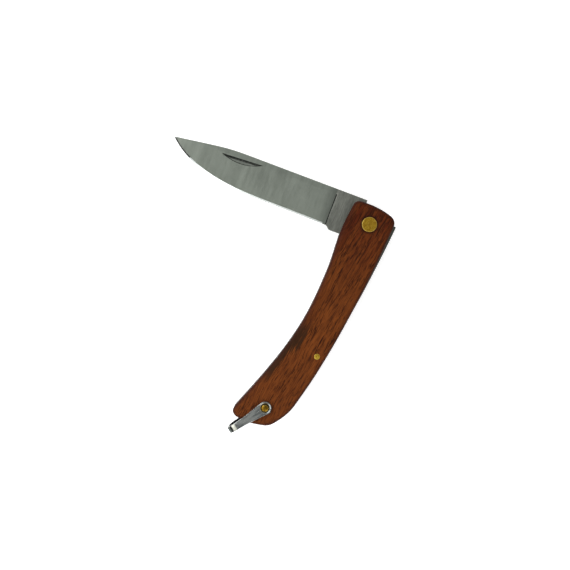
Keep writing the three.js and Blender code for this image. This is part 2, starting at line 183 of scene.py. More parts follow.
def spline(stations: Sequence[Vector], steps: int) -> Points:
    """Points on a smooth curve through stations.

    Args:
        stations: The points that the curve passes through.
        steps: Points in each stretch between two stations.

    Returns:
        The curve's points, both ends included.
    """
    last = len(stations) - 1
    run: Points = []
    for i in range(last):
        before, start, end = stations[max(i - 1, 0)], stations[i], stations[i + 1]
        after = stations[min(i + 2, last)]
        first = start + (end - before) / 6
        second = end - (after - start) / 6
        run += interpolate_bezier(start, first, second, end, steps)
    return run


def arc(radius: float, start: float, end: float, steps: int) -> Points:
    """Points on a circle about the origin, from one angle to another, in degrees."""
    return [turned(radius, 0, start + (end - start) * i / steps) for i in range(steps + 1)]


def closed(points: Sequence[Vector], least: float = 0.02) -> Points:
    """Leaves out points that fall on the one before, so that the rest can be joined in a loop.

    Args:
        points: The points, in order.
        least: The shortest distance between two that are kept.

    Returns:
        The points that are kept.
    """
    kept: Points = []
    for p in points:
        if not kept or (p - kept[-1]).length > least:
            kept.append(p)
    if (kept[0] - kept[-1]).length <= least:
        kept.pop()
    return kept


# ---------------------------------------------------------------- shaping a mesh


@dataclass(frozen=True)
class Rounding:
    """How an edge is rounded: how far in, how far down, and in how many steps."""

    inward: float
    down: float
    steps: int = 1

    def stages(self) -> list[tuple[float, float, float]]:
        """The steps of a quarter of an ellipse.

        Returns:
            The inset, the rise and the edge nearness that is left, for each step.
        """
        angles = [math.pi / 2 * i / self.steps for i in range(self.steps + 1)]
        return [
            (
                self.inward * (math.cos(a) - math.cos(b)),
                self.down * (math.sin(b) - math.sin(a)),
                1 - (i + 1) / self.steps,
            )
            for i, (a, b) in enumerate(zip(angles, angles[1:]))
        ]


@dataclass(frozen=True)
class Bore:
    """A round hole: its centre, and its radius at each height from the top down."""

    centre: Vector
    profile: tuple[tuple[float, float], ...]
    sides: int = 64


class Shaper:
    """Shapes one closed mesh in millimetres and hands it over as an object."""

    def __init__(self) -> None:
        """Starts with nothing, and with a share of edge nearness kept on every point."""
        self.bm = bmesh.new()
        self.rim = self.bm.verts.layers.float.new("rim")

    def loop(self, points: Sequence[Vector], height: float, rim: float = 0.0) -> Loop:
        """Joins points in a closed loop.

        Args:
            points: The points, in order.
            height: The height that all of them are put at.
            rim: Their edge nearness.

        Returns:
            The loop's edges.
        """
        verts = [self.bm.verts.new((p.x, p.y, height)) for p in points]
        for v in verts:
            v[self.rim] = rim
        return [self.bm.edges.new(pair) for pair in zip(verts, verts[1:] + verts[:1])]

    def circle(self, centre: Vector, radius: float, height: float, sides: int) -> Loop:
        """Makes a closed ring.

        Args:
            centre: Its centre, seen from above.
            radius: Its radius.
            height: Its height.
            sides: How many edges it has.

        Returns:
            The ring's edges.
        """
        place = Matrix.Translation((centre.x, centre.y, height))
        made = bmesh.ops.create_circle(self.bm, segments=sides, radius=radius, matrix=place)
        return once(e for v in made["verts"] for e in v.link_edges)

    def cap(self, loop: Loop, up: bool) -> bmesh.types.BMFace:
        """Closes a loop with one face.

        Args:
            loop: The loop's edges.
            up: Whether the face looks up.

        Returns:
            The face.
        """
        face = bmesh.ops.contextual_create(self.bm, geom=loop)["faces"][0]
        face.normal_update()
        if (face.normal.z > 0) != up:
            face.normal_flip()
        return face

    def step_in(
        self, face: bmesh.types.BMFace, inward: float, rise: float, rim: float = 0.0
    ) -> list[bmesh.types.BMFace]:
        """Insets a face and moves it along its normal.

        Args:
            face: The face, which becomes the inner one.
            inward: Width of the ring that is left round it.
            rise: How far the inner face moves outwards.
            rim: Edge nearness of the inner face's points.

        Returns:
            The faces of the ring.
        """
        made = bmesh.ops.inset_individual(
            self.bm, faces=[face], thickness=inward, depth=rise, use_even_offset=True
        )
        for v in face.verts:
            v[self.rim] = rim
        return made["faces"]

    def pull(
        self, loop: Loop, move: Vector, scale: float = 1.0, centre: Vector | None = None
    ) -> Loop:
        """Extrudes a loop of edges.

        Args:
            loop: The edges to extrude.
            move: How far the new loop goes.
            scale: Size of the new loop to the old one, in the plane.
            centre: The point it is scaled about.

        Returns:
            The new loop.
        """
        made = bmesh.ops.extrude_edge_only(self.bm, edges=loop)["geom"]
        verts = [g for g in made if isinstance(g, bmesh.types.BMVert)]
        if scale != 1.0:
            space = Matrix.Translation(-(centre or Vector()))
            bmesh.ops.scale(self.bm, vec=(scale, scale, 1), space=space, verts=verts)
        bmesh.ops.translate(self.bm, vec=move, verts=verts)
        fresh = set(verts)
        return [
            g for g in made
            if isinstance(g, bmesh.types.BMEdge) and g.verts[0] in fresh and g.verts[1] in fresh
        ]

    def fill(self, loops: Sequence[Loop]) -> None:
        """Fills the flat region between an outer loop and the loops inside it."""
        edges = [e for loop in loops for e in loop]
        bmesh.ops.triangle_fill(self.bm, edges=edges, use_beauty=True, use_dissolve=False)

    def slab(
        self,
        outline: Points,
        low: float,
        high: float,
        low_edge: Rounding,
        high_edge: Rounding,
        bores: Sequence[Bore] = (),
    ) -> None:
        """Makes a plate with rounded edges and round holes.

        Args:
            outline: The plate's outline at its widest.
            low: Height of its lower face.
            high: Height of its upper face.
            low_edge: Rounding of the lower face's edge.
            high_edge: Rounding of the upper face's edge.
            bores: Holes from the upper face to the lower one.
        """
        bottom = self.loop(outline, low + low_edge.down, 1.0)
        top = self.pull(bottom, up(high - high_edge.down - low - low_edge.down))
        for e in top:
            for v in e.verts:
                v[self.rim] = 1.0
        ends: list[Loop] = []
        for loop, edge, looks_up in ((top, high_edge, True), (bottom, low_edge, False)):
            face = self.cap(loop, looks_up)
            for inward, rise, rim in edge.stages():
                self.step_in(face, inward, rise, rim)
            self.step_in(face, FLAT_BORDER, 0.0)
            ends.append(list(face.edges))
            bmesh.ops.delete(self.bm, geom=[face], context="FACES_ONLY")
        upper, lower = [ends[0]], [ends[1]]
        for bore in bores:
            radius, height = bore.profile[0]
            ring = self.circle(bore.centre, radius, height, bore.sides)
            upper.append(ring)
            for next_radius, next_height in bore.profile[1:]:
                ring = self.pull(ring, up(next_height - height), next_radius / radius, bore.centre)
                radius, height = next_radius, next_height
            lower.append(ring)
        self.fill(upper)
        self.fill(lower)

    def spun(self, profile: Profile, centre: Vector, sides: int = 96) -> None:
        """Turns a profile about an upright axis.

        Args:
            profile: Radius and height pairs.
            centre: Where the axis stands.
            sides: How many steps a whole turn takes.
        """
        verts = [self.bm.verts.new((centre.x + r, centre.y, h)) for r, h in profile]
        edges = [self.bm.edges.new(pair) for pair in zip(verts, verts[1:])]
        bmesh.ops.spin(
            self.bm, geom=verts + edges, cent=centre, axis=(0, 0, 1),
            angle=2 * math.pi, steps=sides, use_merge=True, use_duplicate=False,
        )

    def cut(
        self, point: Vector, normal: Vector, faces: Sequence[bmesh.types.BMFace] | None = None
    ) -> None:
        """Adds a line of edges where a plane crosses the mesh.

        Args:
            point: A point of the plane.
            normal: The plane's normal.
            faces: The faces to cut, or nothing for all of them.
        """
        if faces is None:
            geom = [*self.bm.verts, *self.bm.edges, *self.bm.faces]
        else:
            edges = once(e for f in faces for e in f.edges)
            verts = once(v for f in faces for v in f.verts)
            geom = [*verts, *edges, *faces]
        bmesh.ops.bisect_plane(self.bm, geom=geom, dist=NO_LENGTH, plane_co=point, plane_no=normal)

    def soften(self, edges: Sequence[bmesh.types.BMEdge], width: float, steps: int) -> None:
        """Rounds edges.

        Args:
            edges: The edges.
            width: How far the rounding reaches to each side.
            steps: How many faces make it up.
        """
        bmesh.ops.bevel(
            self.bm, geom=list(edges), offset=width, offset_type="OFFSET", segments=steps,
            profile=0.5, affect="EDGES", material=-1, clamp_overlap=True, loop_slide=True,
        )

    def place(self, matrix: Matrix) -> None:
        """Moves the whole mesh."""
        bmesh.ops.transform(self.bm, matrix=matrix, verts=self.bm.verts)

    def clean(self) -> None:
        """Merges doubles and points every face outwards."""
        bmesh.ops.remove_doubles(self.bm, verts=self.bm.verts, dist=SAME_PLACE)
        bmesh.ops.dissolve_degenerate(self.bm, dist=NO_LENGTH, edges=self.bm.edges)
        bmesh.ops.recalc_face_normals(self.bm, faces=self.bm.faces)

    def crease(self, degrees: float, keep: Callable[[bmesh.types.BMEdge], bool] | None = None) -> None:
        """Shades the mesh smoothly, except across its sharp edges.

        Args:
            degrees: The angle between two faces past which their edge is sharp.
            keep: Says of an edge whether it stays smooth all the same.
        """
        limit = math.radians(degrees)
        for f in self.bm.faces:
            f.smooth = True
        for e in self.bm.edges:
            sharp = len(e.link_faces) == 2 and e.calc_face_angle(0.0) > limit
            e.smooth = not sharp or (keep is not None and keep(e))

    def hand_over(self, name: str, materials: Sequence[bpy.types.Material]) -> bpy.types.Object:
        """Makes the object, in metres and at the origin.

        Args:
            name: The piece's name.
            materials: Its materials, in the order of the faces' indices.

        Returns:
            The new object.
        """
        bmesh.ops.scale(self.bm, vec=(MM, MM, MM), verts=self.bm.verts)
        mesh = bpy.data.meshes.new(name)
        self.bm.to_mesh(mesh)
        self.bm.free()
        for material in materials:
            mesh.materials.append(material)
        obj = bpy.data.objects.new(name, mesh)
        bpy.context.scene.collection.objects.link(obj)
        return obj


# ---------------------------------------------------------------- node graphs


def tint(red: int, green: int, blue: int) -> tuple[float, float, float, float]:
    """A colour as shaders take it.

    Args:
        red: Red, from 0 to 255 as displayed.
        green: Green.
        blue: Blue.

    Returns:
        The linear colour, opaque.
    """
    def linear(value: float) -> float:
        """One channel, from display to linear."""
        return value / 12.92 if value <= 0.04045 else ((value + 0.055) / 1.055) ** 2.4

    return (*(linear(c / 255) for c in (red, green, blue)), 1.0)


Source = bpy.types.NodeSocket | float | tuple
MIX_SHARE, MIX_FIRST, MIX_SECOND = 0, 6, 7  # a Mix node's inputs when it mixes colours
MIXED_COLOUR = 2  # and its output


class Graph:
    """Adds and links nodes in a material's or a group's tree."""

    def __init__(self, tree: bpy.types.NodeTree) -> None:
        """Works on an existing tree."""
        self.tree = tree

    def add(
        self, kind: str, inputs: dict[str | int, Source] | None = None, **settings: object
    ) -> bpy.types.Node:
        """Adds a node.

        Args:
            kind: The node's type name without its ShaderNode prefix.
            inputs: A value or another node's output for each named or numbered input.
            settings: Values for the node's own properties.

        Returns:
            The new node.
        """
        node = self.tree.nodes.new("ShaderNode" + kind)
        for key, value in settings.items():
            setattr(node, key, value)
        return self.feed(node, inputs or {})

    def feed(self, node: bpy.types.Node, inputs: dict[str | int, Source]) -> bpy.types.Node:
        """Links or sets a node's inputs.

        Args:
            node: The node.
            inputs: A value or another node's output for each named or numbered input.

        Returns:
            The same node.
        """
        for key, value in inputs.items():
            if isinstance(value, bpy.types.NodeSocket):
                self.tree.links.new(value, node.inputs[key])
            else:
                node.inputs[key].default_value = value
        return node

    def math(self, operation: str, *values: Source) -> bpy.types.NodeSocket:
        """A function of numbers."""
        return self.add("Math", dict(enumerate(values)), operation=operation).outputs[0]

    def times(self, first: Source, second: Source) -> bpy.types.NodeSocket:
        """A product of two numbers."""
        return self.math("MULTIPLY", first, second)

    def plus(self, first: Source, second: Source) -> bpy.types.NodeSocket:
        """A sum of two numbers."""
        return self.math("ADD", first, second)

    def minus(self, first: Source, second: Source) -> bpy.types.NodeSocket:
        """The difference of two numbers."""
        return self.math("SUBTRACT", first, second)

    def mix(self, share: Source, first: Source, second: Source) -> bpy.types.NodeSocket:
        """A mix of two colours."""
        inputs = {MIX_SHARE: share, MIX_FIRST: first, MIX_SECOND: second}
        return self.add("Mix", inputs, data_type="RGBA").outputs[MIXED_COLOUR]

    def ranged(self, value: Source, low: float, high: float, to_low: float = 0.0,
               to_high: float = 1.0) -> bpy.types.NodeSocket:
        """Maps a number softly from one range to another, and holds it inside.

        Args:
            value: The number.
            low: Where its range starts.
            high: Where it ends.
            to_low: What the start becomes.
            to_high: What the end becomes.

        Returns:
            The mapped number.
        """
        node = self.add("MapRange", {0: value, 1: low, 2: high, 3: to_low, 4: to_high},
                        interpolation_type="SMOOTHSTEP", clamp=True)
        return node.outputs[0]

    def noise(self, vector: bpy.types.NodeSocket, scale: Source, detail: float = 3.0,
              roughness: float = 0.55) -> bpy.types.NodeSocket:
        """A smooth random value between 0 and 1."""
        inputs = {"Vector": vector, "Scale": scale, "Detail": detail, "Roughness": roughness}
        return self.add("TexNoise", inputs).outputs["Fac"]

    def stretched(
        self, vector: bpy.types.NodeSocket, scale: tuple[float, float, float], turn: float = 0.0
    ) -> bpy.types.NodeSocket:
        """Coordinates scaled, and then turned about the upright axis by an angle in radians."""
        inputs = {"Vector": vector, "Rotation": (0, 0, turn), "Scale": scale}
        return self.add("Mapping", inputs).outputs[0]

    def place(self, degrees: float = 0.0) -> bpy.types.NodeSocket:
        """Object coordinates whose X runs along a direction, given from +X."""
        coords = self.add("TexCoord").outputs["Object"]
        return self.stretched(coords, (1, 1, 1), -math.radians(degrees))

    def attribute(self, name: str) -> bpy.types.NodeSocket:
        """A number kept on the piece's points."""
        return self.add("Attribute", attribute_name=name, attribute_type="GEOMETRY").outputs["Fac"]


class Effects:
    """Node groups that more than one finish uses, each built once."""

    def __init__(self) -> None:
        """Starts with no groups built."""
        self.built: dict[str, bpy.types.NodeTree] = {}

    def start(self, name: str, inputs: dict[str, float],
              outputs: Sequence[str]) -> tuple[Graph, bpy.types.Node, bpy.types.Node]:
        """Makes a group's tree with a vector input, number inputs and number outputs.

        Args:
            name: The group's name.
            inputs: Name and default value of each number input.
            outputs: Names of its outputs.

        Returns:
            The graph, its input node and its output node.
        """
        tree = bpy.data.node_groups.new(name, "ShaderNodeTree")
        tree.interface.new_socket("Vector", in_out="INPUT", socket_type="NodeSocketVector")
        for label, value in inputs.items():
            socket = tree.interface.new_socket(label, in_out="INPUT", socket_type="NodeSocketFloat")
            socket.default_value = value
        for label in outputs:
            tree.interface.new_socket(label, in_out="OUTPUT", socket_type="NodeSocketFloat")
        self.built[name] = tree
        return Graph(tree), tree.nodes.new("NodeGroupInput"), tree.nodes.new("NodeGroupOutput")

    def brushing(self) -> bpy.types.NodeTree:
        """Fine parallel marks along X, as left by a grinding belt.

        Returns:
            The group.
        """
        if "brushing" not in self.built:
            g, given, out = self.start(
                "brushing", {"Fineness": 6000, "Length": 0.03}, ["Marks", "Bands"])
            vector, fineness, length = (given.outputs[n] for n in ("Vector", "Fineness", "Length"))
            squeeze = g.add("CombineXYZ", {0: length, 1: 1.0, 2: 1.0}).outputs[0]
            lines = g.add("VectorMath", {0: vector, 1: squeeze}, operation="MULTIPLY").outputs[0]
            g.feed(out, {
                "Marks": g.noise(lines, fineness, 4.0, 0.7),
                "Bands": g.noise(lines, g.times(fineness, 0.09), 2.0),
            })
        return self.built["brushing"]

    def scratches(self) -> bpy.types.NodeTree:
        """Sparse hairline scratches in two slanting directions.

        Returns:
            The group.
        """
        if "scratches" not in self.built:
            g, given, out = self.start("scratches", {"Size": 400, "Amount": 0.3}, ["Scratches"])
            vector, size, amount = (given.outputs[n] for n in ("Vector", "Size", "Amount"))
            strokes = []
            for angle, stretch in ((0.5, 0.045), (-0.35, 0.07)):
                run = g.stretched(vector, (stretch, 1, 1), angle)
                cells = g.add("TexVoronoi", {"Vector": run, "Scale": size},
                              feature="DISTANCE_TO_EDGE").outputs["Distance"]
                line = g.ranged(cells, 0.0, 0.018, 1.0, 0.0)
                gate = g.ranged(g.noise(vector, g.times(size, 0.9)), 0.52, 0.64)
                strokes.append(g.times(line, gate))
            g.feed(out, {"Scratches": g.times(g.math("MAXIMUM", *strokes), amount)})
        return self.built["scratches"]

    def mottle(self) -> bpy.types.NodeTree:
        """Soft blotches, as handling leaves on metal and wood.

        Returns:
            The group.
        """
        if "mottle" not in self.built:
            g, given, out = self.start("mottle", {"Size": 120}, ["Blotches"])
            value = g.noise(given.outputs["Vector"], given.outputs["Size"], 5.0, 0.6)
            g.feed(out, {"Blotches": g.ranged(value, 0.35, 0.68)})
        return self.built["mottle"]

    def wear(self) -> bpy.types.NodeTree:
        """Edges rubbed bright in patches, from a piece's edge nearness.

        Returns:
            The group.
        """
        if "wear" not in self.built:
            g, given, out = self.start("wear", {"Rim": 0, "Size": 500}, ["Worn"])
            patch = g.noise(given.outputs["Vector"], given.outputs["Size"], 4.0, 0.6)
            near = g.ranged(given.outputs["Rim"], 0.25, 0.95)
            g.feed(out, {"Worn": g.times(near, g.ranged(patch, *NOISE_SPREAD, 0.45, 1.0))})
        return self.built["wear"]

    def use(self, graph: Graph, tree: bpy.types.NodeTree, inputs: dict[str, Source]) -> bpy.types.Node:
        """Places a group in a material with its own values."""
        return graph.feed(graph.add("Group", node_tree=tree), inputs)


EFFECTS = Effects()


def surface(name: str) -> tuple[bpy.types.Material, Graph, bpy.types.Node]:
    """Starts a material.

    Args:
        name: The material's name.

    Returns:
        The material, its graph and its shader.
    """
    material = bpy.data.materials.new(name)
    material.use_nodes = True
    return material, Graph(material.node_tree), material.node_tree.nodes["Principled BSDF"]


def dress(
    graph: Graph, shader: bpy.types.Node, colour: Source, roughness: Source, height: Source, depth: float
) -> None:
    """Gives a shader its colour, roughness and relief.

    Args:
        graph: The material's graph.
        shader: Its shader.
        colour: The colour.
        roughness: The roughness.
        height: The relief, from 0 to 1.
        depth: What a height of 1 stands for, in millimetres.
    """
    bump = graph.add("Bump", {"Height": height, "Distance": depth * MM, "Strength": 1.0}).outputs[0]
    graph.feed(shader, {"Base Color": colour, "Roughness": roughness, "Normal": bump})


# ---------------------------------------------------------------- finishes


@dataclass(frozen=True)
class Metal:
    """What every metal finish has, and the effects that all of them share."""

    name: str
    blotch: float = field(default=620.0, kw_only=True)  # blotches per metre
    cells: float = field(default=700.0, kw_only=True)  # cells of scratches per metre
    scratched: float = field(default=0.5, kw_only=True)
    wear: float = field(default=500.0, kw_only=True)  # patches of wear per metre

    def effects(self, g: Graph, here: Source, smeared: Source) -> tuple[Source, Source, Source]:
        """Places the shared effects.

        Args:
            g: The material's graph.
            here: Coordinates for the scratches and the wear.
            smeared: Coordinates for the blotches.

        Returns:
            The blotches, the scratches and the wear.
        """
        blotches = EFFECTS.use(g, EFFECTS.mottle(), {"Vector": smeared, "Size": self.blotch})
        scratches = EFFECTS.use(
            g, EFFECTS.scratches(), {"Vector": here, "Size": self.cells, "Amount": self.scratched})
        worn = EFFECTS.use(
            g, EFFECTS.wear(), {"Vector": here, "Rim": g.attribute("rim"), "Size": self.wear})
        return blotches.outputs[0], scratches.outputs[0], worn.outputs[0]


@dataclass(frozen=True)
class BrushedSteel(Metal):
    """Ground or satin steel with marks that run one way."""

    light: Colour
    dark: Colour
    roughness: float
    turn: float = 0.0  # direction of the marks from +X, in degrees
    fineness: float = 5000.0
    length: float = 0.03
    depth: float = 0.004
    rubbed: Colour = (205, 208, 204)
    foot: tuple[float, float] | None = None  # distances from the origin between which a painted shade fades out
    painted_shade_strength: float = 0.42
    marks_share: float = 0.6  # of the tone; the broader bands make up the rest
    blotched: float = 0.3
    blotch: float = field(default=110.0, kw_only=True)
    cells: float = field(default=420.0, kw_only=True)
    scratched: float = field(default=0.16, kw_only=True)

    def build(self) -> bpy.types.Material:
        """Makes the material.

        Returns:
            The material, with colour, roughness and bump that follow the brush marks.
        """
        material, g, shader = surface(self.name)
        along = g.place(self.turn)
        brushed = EFFECTS.use(g, EFFECTS.brushing(), {
            "Vector": along, "Fineness": self.fineness, "Length": self.length})
        marks, bands = brushed.outputs["Marks"], brushed.outputs["Bands"]
        blotches, scratches, worn = self.effects(g, along, along)
        tone = g.plus(g.times(g.ranged(marks, *NOISE_SPREAD), self.marks_share),
                      g.times(g.ranged(bands, *NOISE_SPREAD), 1 - self.marks_share))
        colour = g.mix(tone, tint(*self.dark), tint(*self.light))
        colour = g.mix(g.times(blotches, self.blotched), colour, tint(*self.dark))
        colour = g.mix(scratches, colour, tint(*self.rubbed))
        colour = g.mix(worn, colour, tint(*self.rubbed))
        # painted shade on the ground faces just past the plunge
        if self.foot:
            distance = g.times(g.add("SeparateXYZ", {0: along}).outputs["Y"], -1 / MM)
            shade = tint(*(c // 2 for c in self.dark))
            colour = g.mix(g.ranged(distance, *self.foot, self.painted_shade_strength, 0.0), colour, shade)
        rough = g.plus(self.roughness - 0.06, g.times(tone, 0.12))
        rough = g.plus(g.minus(rough, g.times(worn, 0.1)), g.times(blotches, 0.06))
        shader.inputs["Metallic"].default_value = 1.0
        dress(g, shader, colour, rough, g.minus(marks, scratches), self.depth)
        return material


@dataclass(frozen=True)
class PolishedSteel(Metal):
    """Plated or polished steel with faint scratches and smudges."""

    light: Colour
    dark: Colour
    roughness: float
    turn: float = 152.0  # direction of the strap from +X, in degrees
    drawn: float = 0.22  # width of a smudge to its length along the strap
    rubbed: Colour = (235, 236, 234)
    scratch: Colour = (225, 226, 224)
    depth: float = 0.006

    def build(self) -> bpy.types.Material:
        """Makes the material.

        Returns:
            The material.
        """
        material, g, shader = surface(self.name)
        here = g.place(self.turn)
        drawn = g.stretched(here, (self.drawn, 1, 1))
        blotches, scratches, worn = self.effects(g, here, drawn)
        fine = g.noise(here, 2600.0, 3.0)
        colour = g.mix(blotches, tint(*self.light), tint(*self.dark))
        colour = g.mix(g.times(worn, 0.6), colour, tint(*self.rubbed))
        colour = g.mix(scratches, colour, tint(*self.scratch))
        rough = g.plus(self.roughness, g.times(blotches, 0.08))
        rough = g.plus(rough, g.times(scratches, 0.1))
        shader.inputs["Metallic"].default_value = 1.0
        dress(g, shader, colour, rough, g.minus(g.times(fine, 0.5), scratches), self.depth)
        return material


@dataclass(frozen=True)
class Brass(Metal):
    """Yellow metal, dulled and darkened by handling, brighter where it is rubbed."""

    bright: Colour
    dull: Colour
    tarnish: Colour
    roughness: float
    tarnished: float = 0.6
    # also the painted highlight on the rims of the rivets and pins
    rubbed: Colour = (214, 184, 98)
    depth: float = 0.012
    cells: float = field(default=900.0, kw_only=True)
    wear: float = field(default=900.0, kw_only=True)

    def build(self) -> bpy.types.Material:
        """Makes the material.

        Returns:
            The material.
        """
        material, g, shader = surface(self.name)
        here = g.place()
        blotches, scratches, worn = self.effects(g, here, here)
        grain = g.noise(here, 2600.0, 4.0, 0.65)
        colour = g.mix(g.ranged(grain, 0.38, 0.62), tint(*self.dull), tint(*self.bright))
        colour = g.mix(g.times(blotches, self.tarnished), colour, tint(*self.tarnish))
        bared = g.math("MAXIMUM", scratches, g.times(worn, 0.85))
        colour = g.mix(bared, colour, tint(*self.rubbed))
        rough = g.minus(g.plus(self.roughness, g.times(blotches, 0.12)), g.times(worn, 0.1))
        shader.inputs["Metallic"].default_value = 1.0
        dress(g, shader, colour, rough, g.minus(grain, scratches), self.depth)
        return material


@dataclass(frozen=True)
class ScaleWood:
    """Oiled reddish-brown hardwood with long open pores, with painted shade round its rims and round the
    pivot rivet.

    Places and distances are in millimetres.
    """

    name: str
    light: Colour = (109, 57, 20)
    middle: Colour = (84, 40, 11)
    deep: Colour = (57, 22, 6)
    nose: Colour = (66, 20, 5)
    # painted shade where the edges round over
    rim: Colour = (40, 9, 3)
    pore: Colour = (30, 9, 3)
    dark_patch: Colour = (42, 25, 11)
    nose_fade: tuple[float, float] = (-34.0, 3.0)  # where the handle darkens towards its nose
    dark_patch_at: float = -66.0  # middle of a darker patch along the opening edge
    dark_patch_fade: tuple[float, float] = (10.0, 18.0)  # distances from that middle between which it ends
    dark_patch_depth: tuple[float, float] = (2.5, 4.3)  # and distances from the edge
    opening_low: tuple[float, float] = (-47.0, 4.55)  # lowest place of the handle's opening edge
    opening_bow: float = 0.0031  # how fast that edge rises to either side, per millimetre squared
    edge_fade: tuple[float, float] = (0.8, 3.6)  # distances from it between which a shade ends
    pivot_shade_fade: tuple[float, float] = (3.5, 4.7)  # and distances from the pivot between which a painted shade round the rivet's head ends
    sway: float = 3.0  # how far the grain wanders
    roughness: float = 0.48
    shine: float = 0.06
    depth: float = 0.07

    def build(self) -> bpy.types.Material:
        """Makes the material.

        Returns:
            The material, with grain that runs along the handle.
        """
        material, g, shader = surface(self.name)
        here = g.place()
        drift = g.times(g.noise(here, 38.0, 2.0), self.sway * MM)
        sway = g.add("CombineXYZ", {0: 0.0, 1: drift, 2: 0.0}).outputs[0]
        bent = g.add("VectorMath", {0: here, 1: sway}, operation="ADD").outputs[0]

        def grain(along: float, across: float, detail: float = 2.0, roughness: float = 0.55) -> Source:
            """Noise drawn out along the grain, from its cells per metre."""
            return g.noise(g.stretched(bent, (along, across, across)), 1.0, detail, roughness)

        figure, streaks = grain(28.0, 300.0, 4.0, 0.6), grain(170.0, 1700.0, 4.0, 0.7)
        smears = g.ranged(grain(95.0, 1000.0, 3.0), 0.5, 0.62)
        flat = g.add("SeparateXYZ", {0: here})
        x, y = (g.times(flat.outputs[i], 1 / MM) for i in (0, 1))
        colour = g.mix(g.ranged(figure, 0.3, 0.58, 0.55, 1.0), tint(*self.deep), tint(*self.middle))
        colour = g.mix(g.ranged(streaks, 0.36, 0.66, 0.1, 0.8), colour, tint(*self.light))
        nose = g.ranged(x, *self.nose_fade)
        dark_figure = g.ranged(figure, 0.4, 0.56, 1.0, 0.15)
        reddened = g.times(nose, g.math("MULTIPLY_ADD", dark_figure, 0.5, 0.32))
        colour = g.mix(reddened, colour, tint(*self.nose))
        smeared = g.times(smears, g.math("MULTIPLY_ADD", nose, 0.5, 0.12))
        colour = g.mix(smeared, colour, tint(*self.pore))
        fine = g.ranged(grain(300.0, 3400.0, 2.0, 0.5), 0.54, 0.64)
        long = g.ranged(grain(140.0, 2000.0, 2.0, 0.5), 0.57, 0.67)
        gate = g.ranged(grain(45.0, 520.0), 0.36, 0.6, 0.3, 1.0)
        gate = g.math("MAXIMUM", gate, g.times(nose, 0.9))
        pores = g.times(g.math("MAXIMUM", fine, long), gate)
        colour = g.mix(g.times(pores, 0.9), colour, tint(*self.pore))
        low_x, low_y = self.opening_low
        from_low = g.minus(x, low_x)
        edge_y = g.math("MULTIPLY_ADD", g.times(from_low, from_low), self.opening_bow, low_y)
        ragged = g.plus(g.minus(edge_y, y), g.times(g.minus(figure, 0.5), 9.0))
        colour = g.mix(g.ranged(ragged, *self.edge_fade, 0.4, 0.0), colour, tint(*self.deep))
        from_dark_patch = g.math("ABSOLUTE", g.minus(x, self.dark_patch_at))
        torn = g.plus(ragged, g.times(g.minus(streaks, 0.5), 7.0))
        dark_patch = g.times(g.ranged(from_dark_patch, *self.dark_patch_fade, 0.9, 0.0),
                        g.ranged(torn, *self.dark_patch_depth, 1.0, 0.0))
        colour = g.mix(dark_patch, colour, tint(*self.dark_patch))
        # painted shade on the rounded rims, from the edge nearness
        rim_shade = g.ranged(g.attribute("rim"), 0.05, 0.75)
        colour = g.mix(g.times(rim_shade, 0.75), colour, tint(*self.rim))
        in_plane = g.add("CombineXYZ", {0: x, 1: y}).outputs[0]
        from_pivot = g.add("VectorMath", {0: in_plane}, operation="LENGTH").outputs["Value"]
        # painted shade in a ring round the pivot rivet's head
        colour = g.mix(g.ranged(from_pivot, *self.pivot_shade_fade, 0.7, 0.0), colour, tint(*self.pore))
        blotches = EFFECTS.use(g, EFFECTS.mottle(), {"Vector": here, "Size": 75.0}).outputs[0]
        colour = g.mix(g.times(blotches, 0.18), colour, tint(*self.deep))
        rough = g.plus(g.plus(self.roughness, g.times(streaks, 0.16)), g.times(pores, 0.15))
        shader.inputs["Specular IOR Level"].default_value = self.shine
        dress(g, shader, colour, rough, g.minus(g.times(streaks, 0.35), pores), self.depth)
        return material


BLADE_TURN = 99.0  # direction of the blade at rest, from +X, in degrees
ACROSS_BLADE = BLADE_TURN + 90
ACROSS_NICK = BLADE_TURN + 68
ALONG_DEPTH = 90.0  # across the handle

BLADE_FINISHES = {
    BladeFace.SATIN: BrushedSteel(
        "blade_satin", (141, 147, 138), (127, 133, 124), 0.36, ACROSS_BLADE, 6400.0, 0.06, 0.0015,
        # the foot is a painted shade just past the plunge
        rubbed=(150, 155, 148), foot=(18.4, 23.5)),
    BladeFace.HONED: BrushedSteel(
        "honed_edge", (206, 210, 207), (176, 181, 177), 0.3, ACROSS_BLADE, 7000.0),
    BladeFace.NICK: BrushedSteel(  # ribbed by the cutter, and darker partly for its rough cut and partly as painted shade in the recess
        "nick_floor", (92, 95, 89), (22, 24, 22), 0.4, ACROSS_NICK, 1500.0, 0.05, 0.05),
    BladeFace.RICASSO: BrushedSteel(  # left duller and more marked than the ground faces
        "ricasso_satin", (138, 140, 132), (96, 98, 92), 0.42, ACROSS_BLADE, 2600.0, 0.12, 0.006,
        rubbed=(160, 163, 156), scratched=0.3),
    # painted shade for the plunge's face, the nick's wall and the tip's edge
    BladeFace.DARK: BrushedSteel(
        "painted_shade_steel", (50, 52, 49), (28, 29, 27), 0.6, BLADE_TURN, 3600.0),
    BladeFace.NICK_LIP: BrushedSteel(
        "nick_lip", (132, 137, 129), (98, 102, 96), 0.38, ACROSS_NICK, 2600.0),
}
